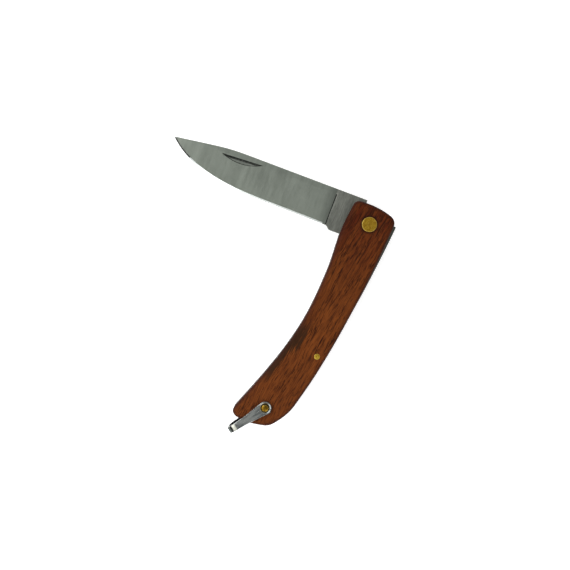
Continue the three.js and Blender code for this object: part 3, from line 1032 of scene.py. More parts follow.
BAIL_FINISHES = {
    BailFace.OUTSIDE: PolishedSteel("bail_bright", (166, 169, 166), (100, 104, 104), 0.18),
    # painted shade on the strap's inner faces and in the dish round the pin
    BailFace.INSIDE: PolishedSteel("bail_inside_painted_shade", (34, 35, 36), (18, 18, 19), 0.4),
    # painted shade on the cross-bar's face and on the lower part of each bend
    BailFace.BAR: PolishedSteel("bail_end_painted_shade", (80, 87, 84), (62, 68, 65), 0.3),
    BailFace.LOWER_BEND: PolishedSteel("bail_bend_painted_shade", (56, 59, 55), (36, 38, 35), 0.2),
    # painted highlight across the upper part of each bend
    BailFace.UPPER_BEND: PolishedSteel("bail_painted_glint", (154, 155, 145), (134, 135, 125), 0.32),
}
SPRING_STEEL = BrushedSteel(
    "spring_ground", (96, 101, 93), (70, 75, 67), 0.4, ALONG_DEPTH, 3800.0, rubbed=(112, 117, 108))
LINER_STEEL = BrushedSteel(
    "liner_ground", (106, 108, 104), (82, 84, 80), 0.4, ALONG_DEPTH, 4200.0, rubbed=(112, 114, 110))
RIVET_BRASS = Brass("rivet_brass", (190, 154, 52), (148, 114, 30), (112, 80, 20), 0.34)
PIN_BRASS = Brass("pin_brass", (206, 172, 66), (176, 142, 44), (132, 102, 28), 0.32)
PEENED_BRASS = Brass(  # dark with tarnish but for the tops of the domes
    "peened_brass", (158, 122, 34), (108, 80, 18), (46, 33, 8), 0.2, tarnished=0.9, blotch=900.0)
WOOD = ScaleWood("scale_wood")


# ---------------------------------------------------------------- levels and axes from the frame


def levels(node: str) -> tuple[float, float]:
    """Heights of a CAD node's lower and upper faces, in millimetres."""
    low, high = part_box(node)
    return low.z / MM, high.z / MM


def axis_at(joint: str) -> Vector:
    """Where a joint's axis stands, in millimetres."""
    found = next(j for j in frame["record"]["behaviour"]["joints"] if j["name"] == joint)
    return Vector(found["pos_m"]) / MM


def seen_from_above(p: Vector) -> Vector:
    """A point, moved to a height of 0."""
    return at(p.x, p.y)


PIVOT = axis_at("blade_fold")
SPRING_PIN = axis_at("spring_flex")
BAIL_PIN = axis_at("bail_swing")


def join(obj: bpy.types.Object, node: str, body: Body) -> bpy.types.Object:
    """Puts a piece on its body in a CAD node's stead.

    Args:
        obj: The piece.
        node: The CAD node that it stands for.
        body: The body that it rides on.

    Returns:
        The piece.
    """
    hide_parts(node)
    if body is not Body.SPRING:
        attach(obj, body.value)
    LOG.info("%s: %d faces on %s", obj.name, len(obj.data.polygons), body.value)
    return obj


# ---------------------------------------------------------------- handle


@dataclass
class Handle:
    """The two wooden scales and the two steel liners."""

    nose_reach: float = 8.4
    butt_reach: float = 102.0
    back_reach: float = 10.15
    edge_in: float = 1.9
    edge_down: float = 1.7
    edge_steps: int = 9
    liner_edge: float = 0.06
    tube_radius: float = 2.06
    head_radius: float = 3.4
    head_seat: float = 0.65
    head_lip: float = 0.12  # bevel of the hole round the rivet's head
    spring_pin_radius: float = 1.36
    bail_pin_radius: float = 1.26
    pin_lip: float = 0.07  # and of those round the pins
    steps: int = 12
    smooth_to: float = 32.0  # faces at a greater angle than this meet in a sharp edge, in degrees

    def station(self, along: float, across: float) -> Vector:
        """A point from shares of the reach to the butt and to the back."""
        return at(-along * self.butt_reach, across * self.back_reach)

    def back_stations(self) -> Points:
        """Stations of the back edge.

        Returns:
            Points from nose to butt.
        """
        shares = [
            (0.079, -1.084), (0.275, -1.207), (0.491, -1.251), (0.668, -1.21), (0.786, -1.118),
            (0.865, -1.015), (0.93, -0.75), (0.97, -0.425), (0.9965, 0.31),
        ]
        nose = at(self.nose_reach - 3.8, -0.97 * self.back_reach)
        return [nose, *(self.station(*s) for s in shares)]

    def outline(self) -> Points:
        """The handle's outline.

        Returns:
            Points round the handle, from the nose along the back.
        """
        reach, depth = self.nose_reach, self.back_reach
        back = spline(self.back_stations(), self.steps)
        shares = [
            (0.965, 1.187), (0.786, 0.798), (0.619, 0.532), (0.447, 0.45), (0.246, 0.631),
            (0.079, 0.946),
        ]
        opening = [*(self.station(*s) for s in shares), at(reach - 4, 1.018 * depth)]
        butt = self.station(1, 0.78)
        upper, front, lower = at(reach - 0.8, 0.62 * depth), at(reach - 0.4, -0.61 * depth), back[0]
        return closed([
            *back,
            *quadratic(butt, self.station(1.0015, 1.21), opening[0], self.steps),
            *spline(opening, self.steps),
            *quadratic(opening[-1], at(reach - 1.2, 1.02 * depth), upper, self.steps),
            *quadratic(upper, at(reach + 0.5, 0), front, self.steps),
            *quadratic(front, at(reach - 0.9, -0.92 * depth), lower, self.steps),
        ])

    def scale(self, node: str, side: int, wood: bpy.types.Material) -> bpy.types.Object:
        """Builds one scale.

        Args:
            node: The CAD node that it stands for.
            side: 1 for the front scale, -1 for the rear one.
            wood: Its material.

        Returns:
            The scale.
        """
        low, high = levels(node)
        inner, thickness = (low, high - low) if side > 0 else (high, high - low)
        seat = thickness - self.head_seat
        bores = [Bore(seen_from_above(PIVOT), (
            (self.head_radius + self.head_lip, thickness), (self.head_radius, thickness - self.head_lip),
            (self.head_radius, seat), (self.tube_radius, seat), (self.tube_radius, 0.0)), 96)]
        for pin, radius in ((SPRING_PIN, self.spring_pin_radius), (BAIL_PIN, self.bail_pin_radius)):
            bores.append(Bore(seen_from_above(pin), (
                (radius + self.pin_lip, thickness), (radius, thickness - self.pin_lip), (radius, 0.0))))
        rim = Rounding(self.edge_in, self.edge_down, self.edge_steps)
        shaper = Shaper()
        shaper.slab(self.outline(), 0.0, thickness, Rounding(0.05, 0.05), rim, bores)
        shaper.place(Matrix.Translation((0, 0, inner)) @ Matrix.Diagonal((1, 1, side, 1)))
        shaper.clean()
        shaper.crease(self.smooth_to)
        return join(shaper.hand_over(node + "_wood", [wood]), node, Body.HANDLE)

    def liner(self, node: str, steel: bpy.types.Material) -> bpy.types.Object:
        """Builds one liner.

        Args:
            node: The CAD node that it stands for.
            steel: Its material.

        Returns:
            The liner.
        """
        low, high = levels(node)
        edge = Rounding(self.liner_edge, self.liner_edge)
        holes = [(PIVOT, self.tube_radius), (SPRING_PIN, self.spring_pin_radius),
                 (BAIL_PIN, self.bail_pin_radius)]
        bores = [Bore(seen_from_above(p), ((r, high), (r, low))) for p, r in holes]
        shaper = Shaper()
        shaper.slab(self.outline(), low, high, edge, edge, bores)
        shaper.clean()
        shaper.crease(self.smooth_to)
        return join(shaper.hand_over(node + "_plate", [steel]), node, Body.HANDLE)

    def build(self) -> None:
        """Builds and dresses all four plates."""
        wood, steel = WOOD.build(), LINER_STEEL.build()
        self.scale("front_scale", 1, wood)
        self.scale("rear_scale", -1, wood)
        self.liner("front_liner", steel)
        self.liner("rear_liner", steel)


# ---------------------------------------------------------------- blade


@dataclass
class Blade:
    """The blade, drawn with X towards its tip, Y towards the cutting edge and Z = 0 mid-thickness."""

    closed_turn: float = 179.0
    thickness: float = 2.3
    tip_reach: float = 94.4
    back_reach: float = 10.15
    edge_reach: float = 6.35
    tang_flat: float = 7.25
    cam_radius: float = 8.35
    kick_reach: float = 8.15
    step_at: float = 4.3
    heel_at: float = 17.6
    notch_in: float = 1.1  # heel to the notch before the kick
    notch_drop: float = 0.5
    crown_in: float = 2.6  # and to the kick's highest place
    kick_length: float = 6.5
    kick_fall: float = 0.08
    seat_slope: float = 5.5
    plunge_at: float = 17.8
    plunge_run: float = 0.45
    unground: float = 2.3
    edge_half: float = 0.15
    tip_taper: float = 20.0  # length over which the whole blade thins to its tip
    tip_share: float = 0.27  # of its thickness that is left there
    sharp_half: float = 0.03
    edge_break: float = 0.12
    corner_break: float = 0.1  # how far the rim of each face falls away, except along the edge
    honed_band: float = 0.62
    smooth_to: float = 2.5  # faces at a greater angle than this meet in a sharp edge, in degrees
    band_fade: float = 1.6
    tip_shade_from: float = 84.5  # past this the cutting edge gets painted shade instead of the honed finish
    bore_radius: float = 2.1
    nick_length: float = 19.2
    nick_height: float = 2.25
    nick_rim: float = 0.25
    lip_from: float = 0.5
    nick_depth: float = 0.45
    nick_at: float = 62.4
    nick_below: float = 2.6
    nick_turn: float = 3.0
    nick_strips: int = 7

    def ground_top(self) -> float:
        """Where the ground faces end, short of the spine."""
        return -self.back_reach + self.unground

    def cutting_run(self) -> Points:
        """The cutting edge.

        Returns:
            Points from the tip to the heel.
        """
        reach, edge = self.tip_reach, self.edge_reach
        tip = at(reach, -0.645 * self.back_reach)
        belly = cubic(tip, at(0.86 * reach, edge * 1.02), at(0.61 * reach, edge * 0.98),
                      at(0.49 * reach, edge), 90)
        end = at(self.heel_at + 0.6, edge + 0.2)
        return [*belly, *(belly[-1].lerp(end, i / 20) for i in range(1, 21))]

    def outline(self) -> tuple[Points, int, int]:
        """The blade's outline.

        Returns:
            Its points, and where the cutting edge starts and ends among them.
        """
        reach, back, edge = self.tip_reach, self.back_reach, self.edge_reach
        flat_end = -math.sqrt(self.cam_radius**2 - self.tang_flat**2)
        normal = self.seat_slope - 90 - self.closed_turn
        seat_start = turned(self.tang_flat, -flat_end, normal)
        seat_end = turned(self.tang_flat, -back * 0.3, normal)
        spine = [at(self.step_at, -back), *(at(self.step_at + i * 4, -back) for i in range(1, 15))]
        bend = quadratic(at(0.66 * reach, -back), at(0.73 * reach, -back),
                         at(0.81 * reach, -0.89 * back), 24)
        cutting = self.cutting_run()
        clip = [bend[-1].lerp(cutting[0], i / 18) for i in range(1, 18)]
        heel, kick, slope = self.heel_at, self.kick_reach, cutting[-1]
        notch = at(heel - self.notch_in, kick - self.notch_drop)
        crown = at(heel - self.crown_in, kick)
        start = math.degrees(math.atan2(seat_start.y, seat_start.x))
        end = math.degrees(math.atan2(-self.tang_flat, flat_end)) + 360
        before = closed([*spine, *bend, *clip])
        run = closed([
            *before, *cutting,
            *quadratic(slope, at(heel - 0.4, edge + 0.3), notch, 10),
            *quadratic(notch, at(heel - 1.6, kick), crown, 10),
            at(heel - self.kick_length, kick - self.kick_fall), seat_end, seat_start,
            *arc(self.cam_radius, start, end, 48), at(self.step_at, -self.tang_flat),
        ])
        return run, len(before), len(before) + len(closed(cutting)) - 1

    def half_at(self, p: Vector) -> float:
        """Half the blade's thickness at a place.

        Args:
            p: A point of either face.

        Returns:
            The distance from the middle plane to the face there.
        """
        full, top = self.thickness / 2, self.ground_top()
        fall = (full - self.edge_half) / (self.edge_reach - top)
        ground = full - fall * max(0.0, p.y - top)
        share = held((p.x - self.plunge_at) / self.plunge_run)
        half = full + (max(ground, self.sharp_half) - full) * share * share * (3 - 2 * share)
        near_tip = held(1 - (self.tip_reach - p.x) / self.tip_taper)
        return half * (1 - (1 - self.tip_share) * near_tip**2)

    def nick_loop(self) -> Points:
        """The nail nick's rim, straight towards the spine and bowed towards the edge.

        Returns:
            Its points on the blade.
        """
        half = self.nick_length / 2
        bow = quadratic(at(half, 0), at(0, 2 * self.nick_height), at(-half, 0), 40)
        straight = [at(-half + self.nick_length * i / 24, 0) for i in range(1, 24)]
        return closed([self.on_blade(p) for p in [*bow, *straight]])

    def on_blade(self, p: Vector) -> Vector:
        """A point of the nick, placed on the blade."""
        return turned(p.x, p.y, self.nick_turn) + at(self.nick_at, -self.back_reach + self.nick_below)

    def in_nick(self, p: Vector) -> Vector:
        """A point of the blade, in the nick's own directions."""
        d = at(p.x, p.y) - at(self.nick_at, -self.back_reach + self.nick_below)
        return turned(d.x, d.y, -self.nick_turn)

    def nick_fall(self, p: Vector) -> float:
        """Depth of the nick's floor.

        Args:
            p: A point inside the nick's rim.

        Returns:
            How far the floor is below the blade's face there.
        """
        q = self.in_nick(p)
        bow = self.nick_height * (1 - (2 * q.x / self.nick_length) ** 2)
        if bow <= 0.01:
            return 0.0
        return self.nick_depth * min(1.0, bow / self.nick_height * 1.5) * (1 - held(q.y / bow))

    def face(self, shaper: Shaper, side: int) -> None:
        """Builds one of the blade's two faces.

        Args:
            shaper: The mesh that it is added to.
            side: 1 for the front face, which has the nick, and -1 for the rear one.
        """
        gap = shaper.bm.verts.layers.float.get("gap")
        cutting = shaper.bm.verts.layers.float.get("cutting")
        points, first, last = self.outline()
        outer = shaper.loop(points, side * self.thickness, 1.0)
        band_from = self.plunge_at + self.band_fade
        for i, e in enumerate(outer):
            share = held((points[i].x - band_from) / self.band_fade)
            e.verts[0][cutting] = share if first <= i <= last else 0.0
        cap = shaper.cap(outer, side > 0)
        reach = 0.0
        for width in (self.edge_break, self.honed_band - self.edge_break):
            before = set(cap.verts)
            ring = shaper.step_in(cap, width, 0.0)
            reach += width
            for v in cap.verts:
                v[gap] = reach
                mates = [e.other_vert(v) for e in v.link_edges if e.other_vert(v) in before]
                v[cutting] = max((m[cutting] for m in mates), default=0.0)
            for f in ring:
                if sum(v[cutting] for v in f.verts) > 2.0:
                    # near the tip the honed band gives way to painted shade
                    dark = f.calc_center_median().x > self.tip_shade_from
                    f.material_index = BladeFace.DARK if dark else BladeFace.HONED
        inner = list(cap.edges)
        bmesh.ops.delete(shaper.bm, geom=[cap], context="FACES_ONLY")
        bore = shaper.circle(at(0, 0), self.bore_radius, side * self.thickness, 64)
        loops = [inner, bore]
        nick: Loop = []
        if side > 0:
            nick = shaper.loop(self.nick_loop(), side * self.thickness)
            loops.append(nick)
        for loop in loops[1:]:
            for v in once(v for e in loop for v in e.verts):
                v[gap] = reach
        shaper.fill(loops)
        if nick:
            self.sink_nick(shaper, nick)

    def sink_nick(self, shaper: Shaper, rim: Loop) -> None:
        """Fills the nick's rim with a floor that is cut in strips, ready to be lowered.

        Args:
            shaper: The blade's mesh.
            rim: The nick's rim.
        """
        gap = shaper.bm.verts.layers.float.get("gap")
        sink = shaper.bm.verts.layers.float.get("sink")
        floor = shaper.cap(rim, True)
        # the ring of the nick's wall gets painted shade
        for f in shaper.step_in(floor, self.nick_rim, 0.0):
            f.material_index = BladeFace.DARK
        floor.material_index = BladeFace.NICK
        faces = [floor]
        for v in floor.verts:
            v[gap], v[sink] = FAR_FROM_RIM, 1.0
        across = turned(0, 1, self.nick_turn)
        for i in range(1, self.nick_strips):
            line = self.on_blade(at(0, self.nick_height * i / self.nick_strips))
            shaper.cut(line, across, faces)
            faces = [f for f in shaper.bm.faces if f.material_index == BladeFace.NICK]
            for v in once(v for f in faces for v in f.verts):
                v[gap], v[sink] = FAR_FROM_RIM, 1.0
        for f in faces:
            if self.in_nick(f.calc_center_median()).y > self.nick_height * self.lip_from:
                f.material_index = BladeFace.NICK_LIP

    def slice_up(self, shaper: Shaper) -> None:
        """Cuts the faces where the plunge, the tip's taper and the ground faces' top need points.

        Args:
            shaper: The blade's mesh.
        """
        places = [self.plunge_at + self.plunge_run * i / 6 for i in range(7)]
        places += [self.tip_reach - self.tip_taper * (1 - i / 16) for i in range(16)]
        for x in places:
            shaper.cut(at(x, 0), Vector((1, 0, 0)))
        shaper.cut(at(0, self.ground_top()), Vector((0, 1, 0)))

    def grind(self, shaper: Shaper) -> None:
        """Moves every point of both faces to its own depth.

        Args:
            shaper: The mesh, whose faces are still flat and not yet joined.
        """
        gap, cutting, sink = (shaper.bm.verts.layers.float.get(n) for n in ("gap", "cutting", "sink"))
        for v in shaper.bm.verts:
            side = 1 if v.co.z > 0 else -1
            half = self.half_at(v.co)
            on_edge = v[cutting] if v.co.x > self.plunge_at else 0.0
            if v[gap] < self.honed_band - SAME_PLACE:
                share = v[gap] / self.honed_band
                sharp = self.sharp_half + (half - self.sharp_half) * share
                plain = half - (self.corner_break if v[gap] < SAME_PLACE else 0.0)
                half = plain + (sharp - plain) * on_edge
            if v[sink] > 0.5:
                half -= self.nick_fall(v.co)
            v.co.z = side * half

    def stays_smooth(self, sink: bmesh.types.BMLayerItem, e: bmesh.types.BMEdge) -> bool:
        """Whether an edge is in the plunge, a wall or the nick's floor, which are soft curves.

        Args:
            sink: The layer that marks the nick's floor.
            e: The edge.

        Returns:
            True if it is.
        """
        low, high = self.plunge_at - 0.01, self.plunge_at + self.plunge_run - 0.01
        a, b = (v.co for v in e.verts)
        wall = a.z * b.z < 0 and e.calc_face_angle(0.0) < 0.45
        plunge = low <= a.x <= high and low <= b.x <= high and e.calc_face_angle(0.0) < 0.6
        return wall or plunge or all(v[sink] > 0.5 for v in e.verts)

    def build(self) -> bpy.types.Object:
        """Builds and dresses the blade.

        Returns:
            The blade.
        """
        shaper = Shaper()
        layers = shaper.bm.verts.layers.float
        for name in ("gap", "cutting", "sink"):
            layers.new(name)
        shaper.rim = layers.get("rim")
        self.face(shaper, 1)
        self.face(shaper, -1)
        self.slice_up(shaper)
        self.grind(shaper)
        for f in shaper.bm.faces:
            centre = f.calc_center_median()
            if f.material_index == BladeFace.SATIN and centre.x < self.plunge_at + self.plunge_run:
                # the plunge's steep face gets painted shade, the rest of the ricasso its own finish
                plunge = centre.x > self.plunge_at and centre.y > self.ground_top() + 0.1
                f.material_index = BladeFace.DARK if plunge else BladeFace.RICASSO
        self.close(shaper)
        for f in shaper.bm.faces:
            heights = [v.co.z for v in f.verts]
            if min(heights) < 0 < max(heights):
                ahead = f.calc_center_median().x > self.plunge_at
                f.material_index = BladeFace.SATIN if ahead else BladeFace.RICASSO
        shaper.clean()
        sink = layers.get("sink")
        shaper.crease(self.smooth_to, lambda e: self.stays_smooth(sink, e))
        low, high = levels("blade")
        turn = Matrix.Rotation(math.radians(BLADE_TURN), 4, "Z")
        shaper.place(Matrix.Translation((PIVOT.x, PIVOT.y, (low + high) / 2)) @ turn)
        finishes = [BLADE_FINISHES[part].build() for part in BladeFace]
        return join(shaper.hand_over("blade_ground", finishes), "blade", Body.BLADE)

    def close(self, shaper: Shaper) -> None:
        """Joins the two faces round the outline and round the bore.

        Args:
            shaper: The blade's mesh.
        """
        open_edges = [e for e in shaper.bm.edges if e.is_boundary]
        near = self.bore_radius + 0.3
        inner = [e for e in open_edges if all(v.co.to_2d().length < near for v in e.verts)]
        kept = set(inner)
        outer = [e for e in open_edges if e not in kept]
        bmesh.ops.bridge_loops(shaper.bm, edges=outer)
        bmesh.ops.bridge_loops(shaper.bm, edges=inner)


# ---------------------------------------------------------------- back spring


@dataclass
class BackSpring:
    """The spring in the handle's back, lifted by the tang's cam while the blade is half open."""

    handle: Handle
    blade: Blade
    nose_thickness: float = 2.8
    flex_thickness: float = 3.3
    end_at: float = 4.2
    clearance: float = 0.1
    pin_boss: float = 2.7
    bail_boss: float = 3.4
    edge_round: float = 0.09
    bend_cuts: int = 44
    bend_step: float = 1.5

    def nose(self) -> Vector:
        """The outer corner at the spring's free end, before it is lifted."""
        return turned(self.end_at, -self.handle.back_reach, self.blade.seat_slope)

    def deflection(self, x: float) -> float:
        """How far the spring bends at a place, as a share of its nose's movement."""
        share = max(0.0, (x - SPRING_PIN.x) / (self.nose().x - SPRING_PIN.x))
        return (3 * share**2 - share**3) / 2

    def lifted(self, p: Vector) -> Vector:
        """A point of the relaxed spring, where the cam holds it."""
        rise = self.blade.cam_radius - self.blade.tang_flat
        return at(p.x, p.y - rise / self.deflection(0.0) * self.deflection(p.x))

    def outline(self) -> Points:
        """The lifted spring's outline.

        Returns:
            Points along its outer side, and back along its inner side.
        """
        h, b = self.handle, self.blade
        outside = [self.nose(), *spline(h.back_stations(), 14)[1:]]
        seat = h.back_reach - self.nose_thickness
        kick = turned(b.heel_at - b.crown_in, b.kick_reach, b.closed_turn)
        rest_y = kick.y - self.clearance

        def flex(share: float) -> float:
            """Height of the inner side where the spring bends."""
            return -share * h.back_reach + self.flex_thickness

        inside = [
            turned(self.end_at, -seat, b.seat_slope), turned(-self.end_at, -seat, b.seat_slope),
            *spline([
                at(kick.x + 6, rest_y), at(kick.x - 1, rest_y),
                at(-0.3 * h.butt_reach, flex(1.217)), at(-0.47 * h.butt_reach, flex(1.251)),
                at(SPRING_PIN.x + 5, SPRING_PIN.y + self.pin_boss - 1),
                at(SPRING_PIN.x, SPRING_PIN.y + self.pin_boss),
                at((SPRING_PIN.x + BAIL_PIN.x) / 2, SPRING_PIN.y + self.pin_boss),
                at(BAIL_PIN.x + 2.4 * self.bail_boss, -self.bail_boss),
                at(BAIL_PIN.x + self.bail_boss, self.bail_boss * 0.5),
                at(BAIL_PIN.x, self.bail_boss),
                outside[-1],
            ], 10)[:-1],
        ]
        return closed([self.lifted(p) for p in [*outside, *reversed(inside)]])

    def build(self) -> bpy.types.Object:
        """Builds and dresses the spring.

        Returns:
            The spring, which bends between the handle and its own body.
        """
        low, high = levels("back_spring")
        edge = Rounding(self.edge_round, self.edge_round)
        pins = ((SPRING_PIN, self.handle.spring_pin_radius), (BAIL_PIN, self.handle.bail_pin_radius))
        bores = [Bore(seen_from_above(p), ((r, high), (r, low)), 48) for p, r in pins]
        shaper = Shaper()
        shaper.slab(self.outline(), low, high, edge, edge, bores)
        for i in range(1, self.bend_cuts):
            shaper.cut(at(self.nose().x - self.bend_step * i, 0), Vector((1, 0, 0)))
        shaper.clean()
        shaper.crease(self.handle.smooth_to)
        obj = join(shaper.hand_over("back_spring_strip", [SPRING_STEEL.build()]), "back_spring",
                   Body.SPRING)
        start = Vector((SPRING_PIN.x, SPRING_PIN.y, SPRING_PIN.z)) * MM
        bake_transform(obj, Body.HANDLE.value, Body.SPRING.value, start, Vector((0.0, start.y, start.z)))
        return obj


# ---------------------------------------------------------------- rivets and pins


@dataclass
class Rivets:
    """The brass pivot rivet in its two halves, the spring pin and the bail pin."""

    head_radius: float = 3.3
    head_thickness: float = 0.9
    chamfer: float = 0.18
    tube_radius: float = 2.0
    tube_bore: float = 1.21
    post_radius: float = 1.15
    gap: float = 0.1
    pin_radius: float = 1.3
    pin_dimple: float = 0.34
    bail_pin_radius: float = 1.2
    bail_head_radius: float = 1.6
    bail_head_rise: float = 0.6
    smooth_to: float = 24.0  # faces at a greater angle than this meet in a sharp edge, in degrees

    def turned_piece(self, node: str, profile: Profile, centre: Vector,
                     brass: bpy.types.Material, bright_rim_from: float) -> bpy.types.Object:
        """Builds one turned piece.

        Args:
            node: The CAD node that it stands for.
            profile: Radius and height pairs, from the axis round to the axis.
            centre: Where its axis stands.
            brass: Its material.
            bright_rim_from: Radius past which its edge is lighter, partly as wear and partly as a painted
                highlight.

        Returns:
            The piece.
        """
        shaper = Shaper()
        shaper.spun(profile, centre)
        shaper.clean()
        for v in shaper.bm.verts:
            # the rim is rubbed bright: wear, and a painted highlight on the chamfer
            v[shaper.rim] = 1.0 if (v.co - centre).to_2d().length > bright_rim_from else 0.0
        shaper.crease(self.smooth_to)
        return join(shaper.hand_over(node + "_brass", [brass]), node, Body.HANDLE)

    def head(self, face: float, out: int) -> Profile:
        """A flat head's profile from its underside to its centre.

        Args:
            face: Height of its face.
            out: 1 if it looks up and -1 if it looks down.

        Returns:
            Radius and height pairs.
        """
        r, c = self.head_radius, self.chamfer
        return [
            (r, face - out * self.head_thickness), (r, face - out * c),
            (r - c * 0.4, face - out * c * 0.35), (r - c, face - out * 0.03), (r - 1.6 * c, face),
            (r - 2.4 * c, face - out * 0.012), (r * 0.5, face - out * 0.02), (0, face - out * 0.015),
        ]

    def pin(self, node: str, end: Profile, axis: Vector, brass: Brass, bright_rim_from: float) -> None:
        """Builds a pin whose two ends are alike.

        Args:
            node: The CAD node that it stands for.
            end: Radius and height pairs of its upper end, from the shank to the axis.
            axis: Where its axis stands.
            brass: Its finish.
            bright_rim_from: Radius past which its edge is lighter, partly as wear and partly as a painted
                highlight.
        """
        bottom, top = levels(node)
        profile = [*((r, top + bottom - z) for r, z in reversed(end)), *end]
        self.turned_piece(node, profile, seen_from_above(axis), brass.build(), bright_rim_from)

    def build(self) -> None:
        """Builds and dresses the four turned pieces."""
        brass = RIVET_BRASS.build()
        top, bottom = levels("pivot_rivet_front")[1], levels("pivot_rivet_rear")[0]
        under, over = bottom + self.head_thickness, top - self.head_thickness
        centre = seen_from_above(PIVOT)
        # the heads' chamfer rings: worn, and lighter as a painted highlight
        worn = self.head_radius - 1.4 * self.chamfer
        self.turned_piece("pivot_rivet_front", [
            (0, under + self.gap), (self.post_radius, under + self.gap), (self.post_radius, over),
            *self.head(top, 1)], centre, brass, worn)
        self.turned_piece("pivot_rivet_rear", [
            *reversed(self.head(bottom, -1)), (self.tube_radius, under),
            (self.tube_radius, over - self.gap), (self.tube_bore, over - self.gap),
            (self.tube_bore, under), (0, under)], centre, brass, worn)
        self.spring_pin()
        self.bail_pin()

    def spring_pin(self) -> None:
        """Builds the spring pin, peened flat with a small dimple at each end."""
        top, wood = levels("spring_pin")[1], levels("front_scale")[1]
        r, d = self.pin_radius, self.pin_dimple
        end = [(r, wood - 0.02), (r * 0.93, top - 0.05), (r * 0.78, top), (d, top),
               (d * 0.6, top - 0.09), (0, top - 0.12)]
        self.pin("spring_pin", end, SPRING_PIN, PIN_BRASS, r * 0.85)

    def bail_pin(self) -> None:
        """Builds the bail pin with a low dome at each end."""
        top, r = levels("bail_pin")[1], self.bail_head_radius
        strap = top - self.bail_head_rise
        angles = [math.radians(10 * i) for i in range(9)]
        dome = [(r * math.cos(a), strap - 0.05 + 0.65 * math.sin(a) ** 0.9) for a in angles]
        end = [(self.bail_pin_radius, strap - 0.5), (r, strap - 0.1), *dome, (0.3, top), (0, top - 0.03)]
        self.pin("bail_pin", end, BAIL_PIN, PEENED_BRASS, r * 0.92)


# ---------------------------------------------------------------- bail


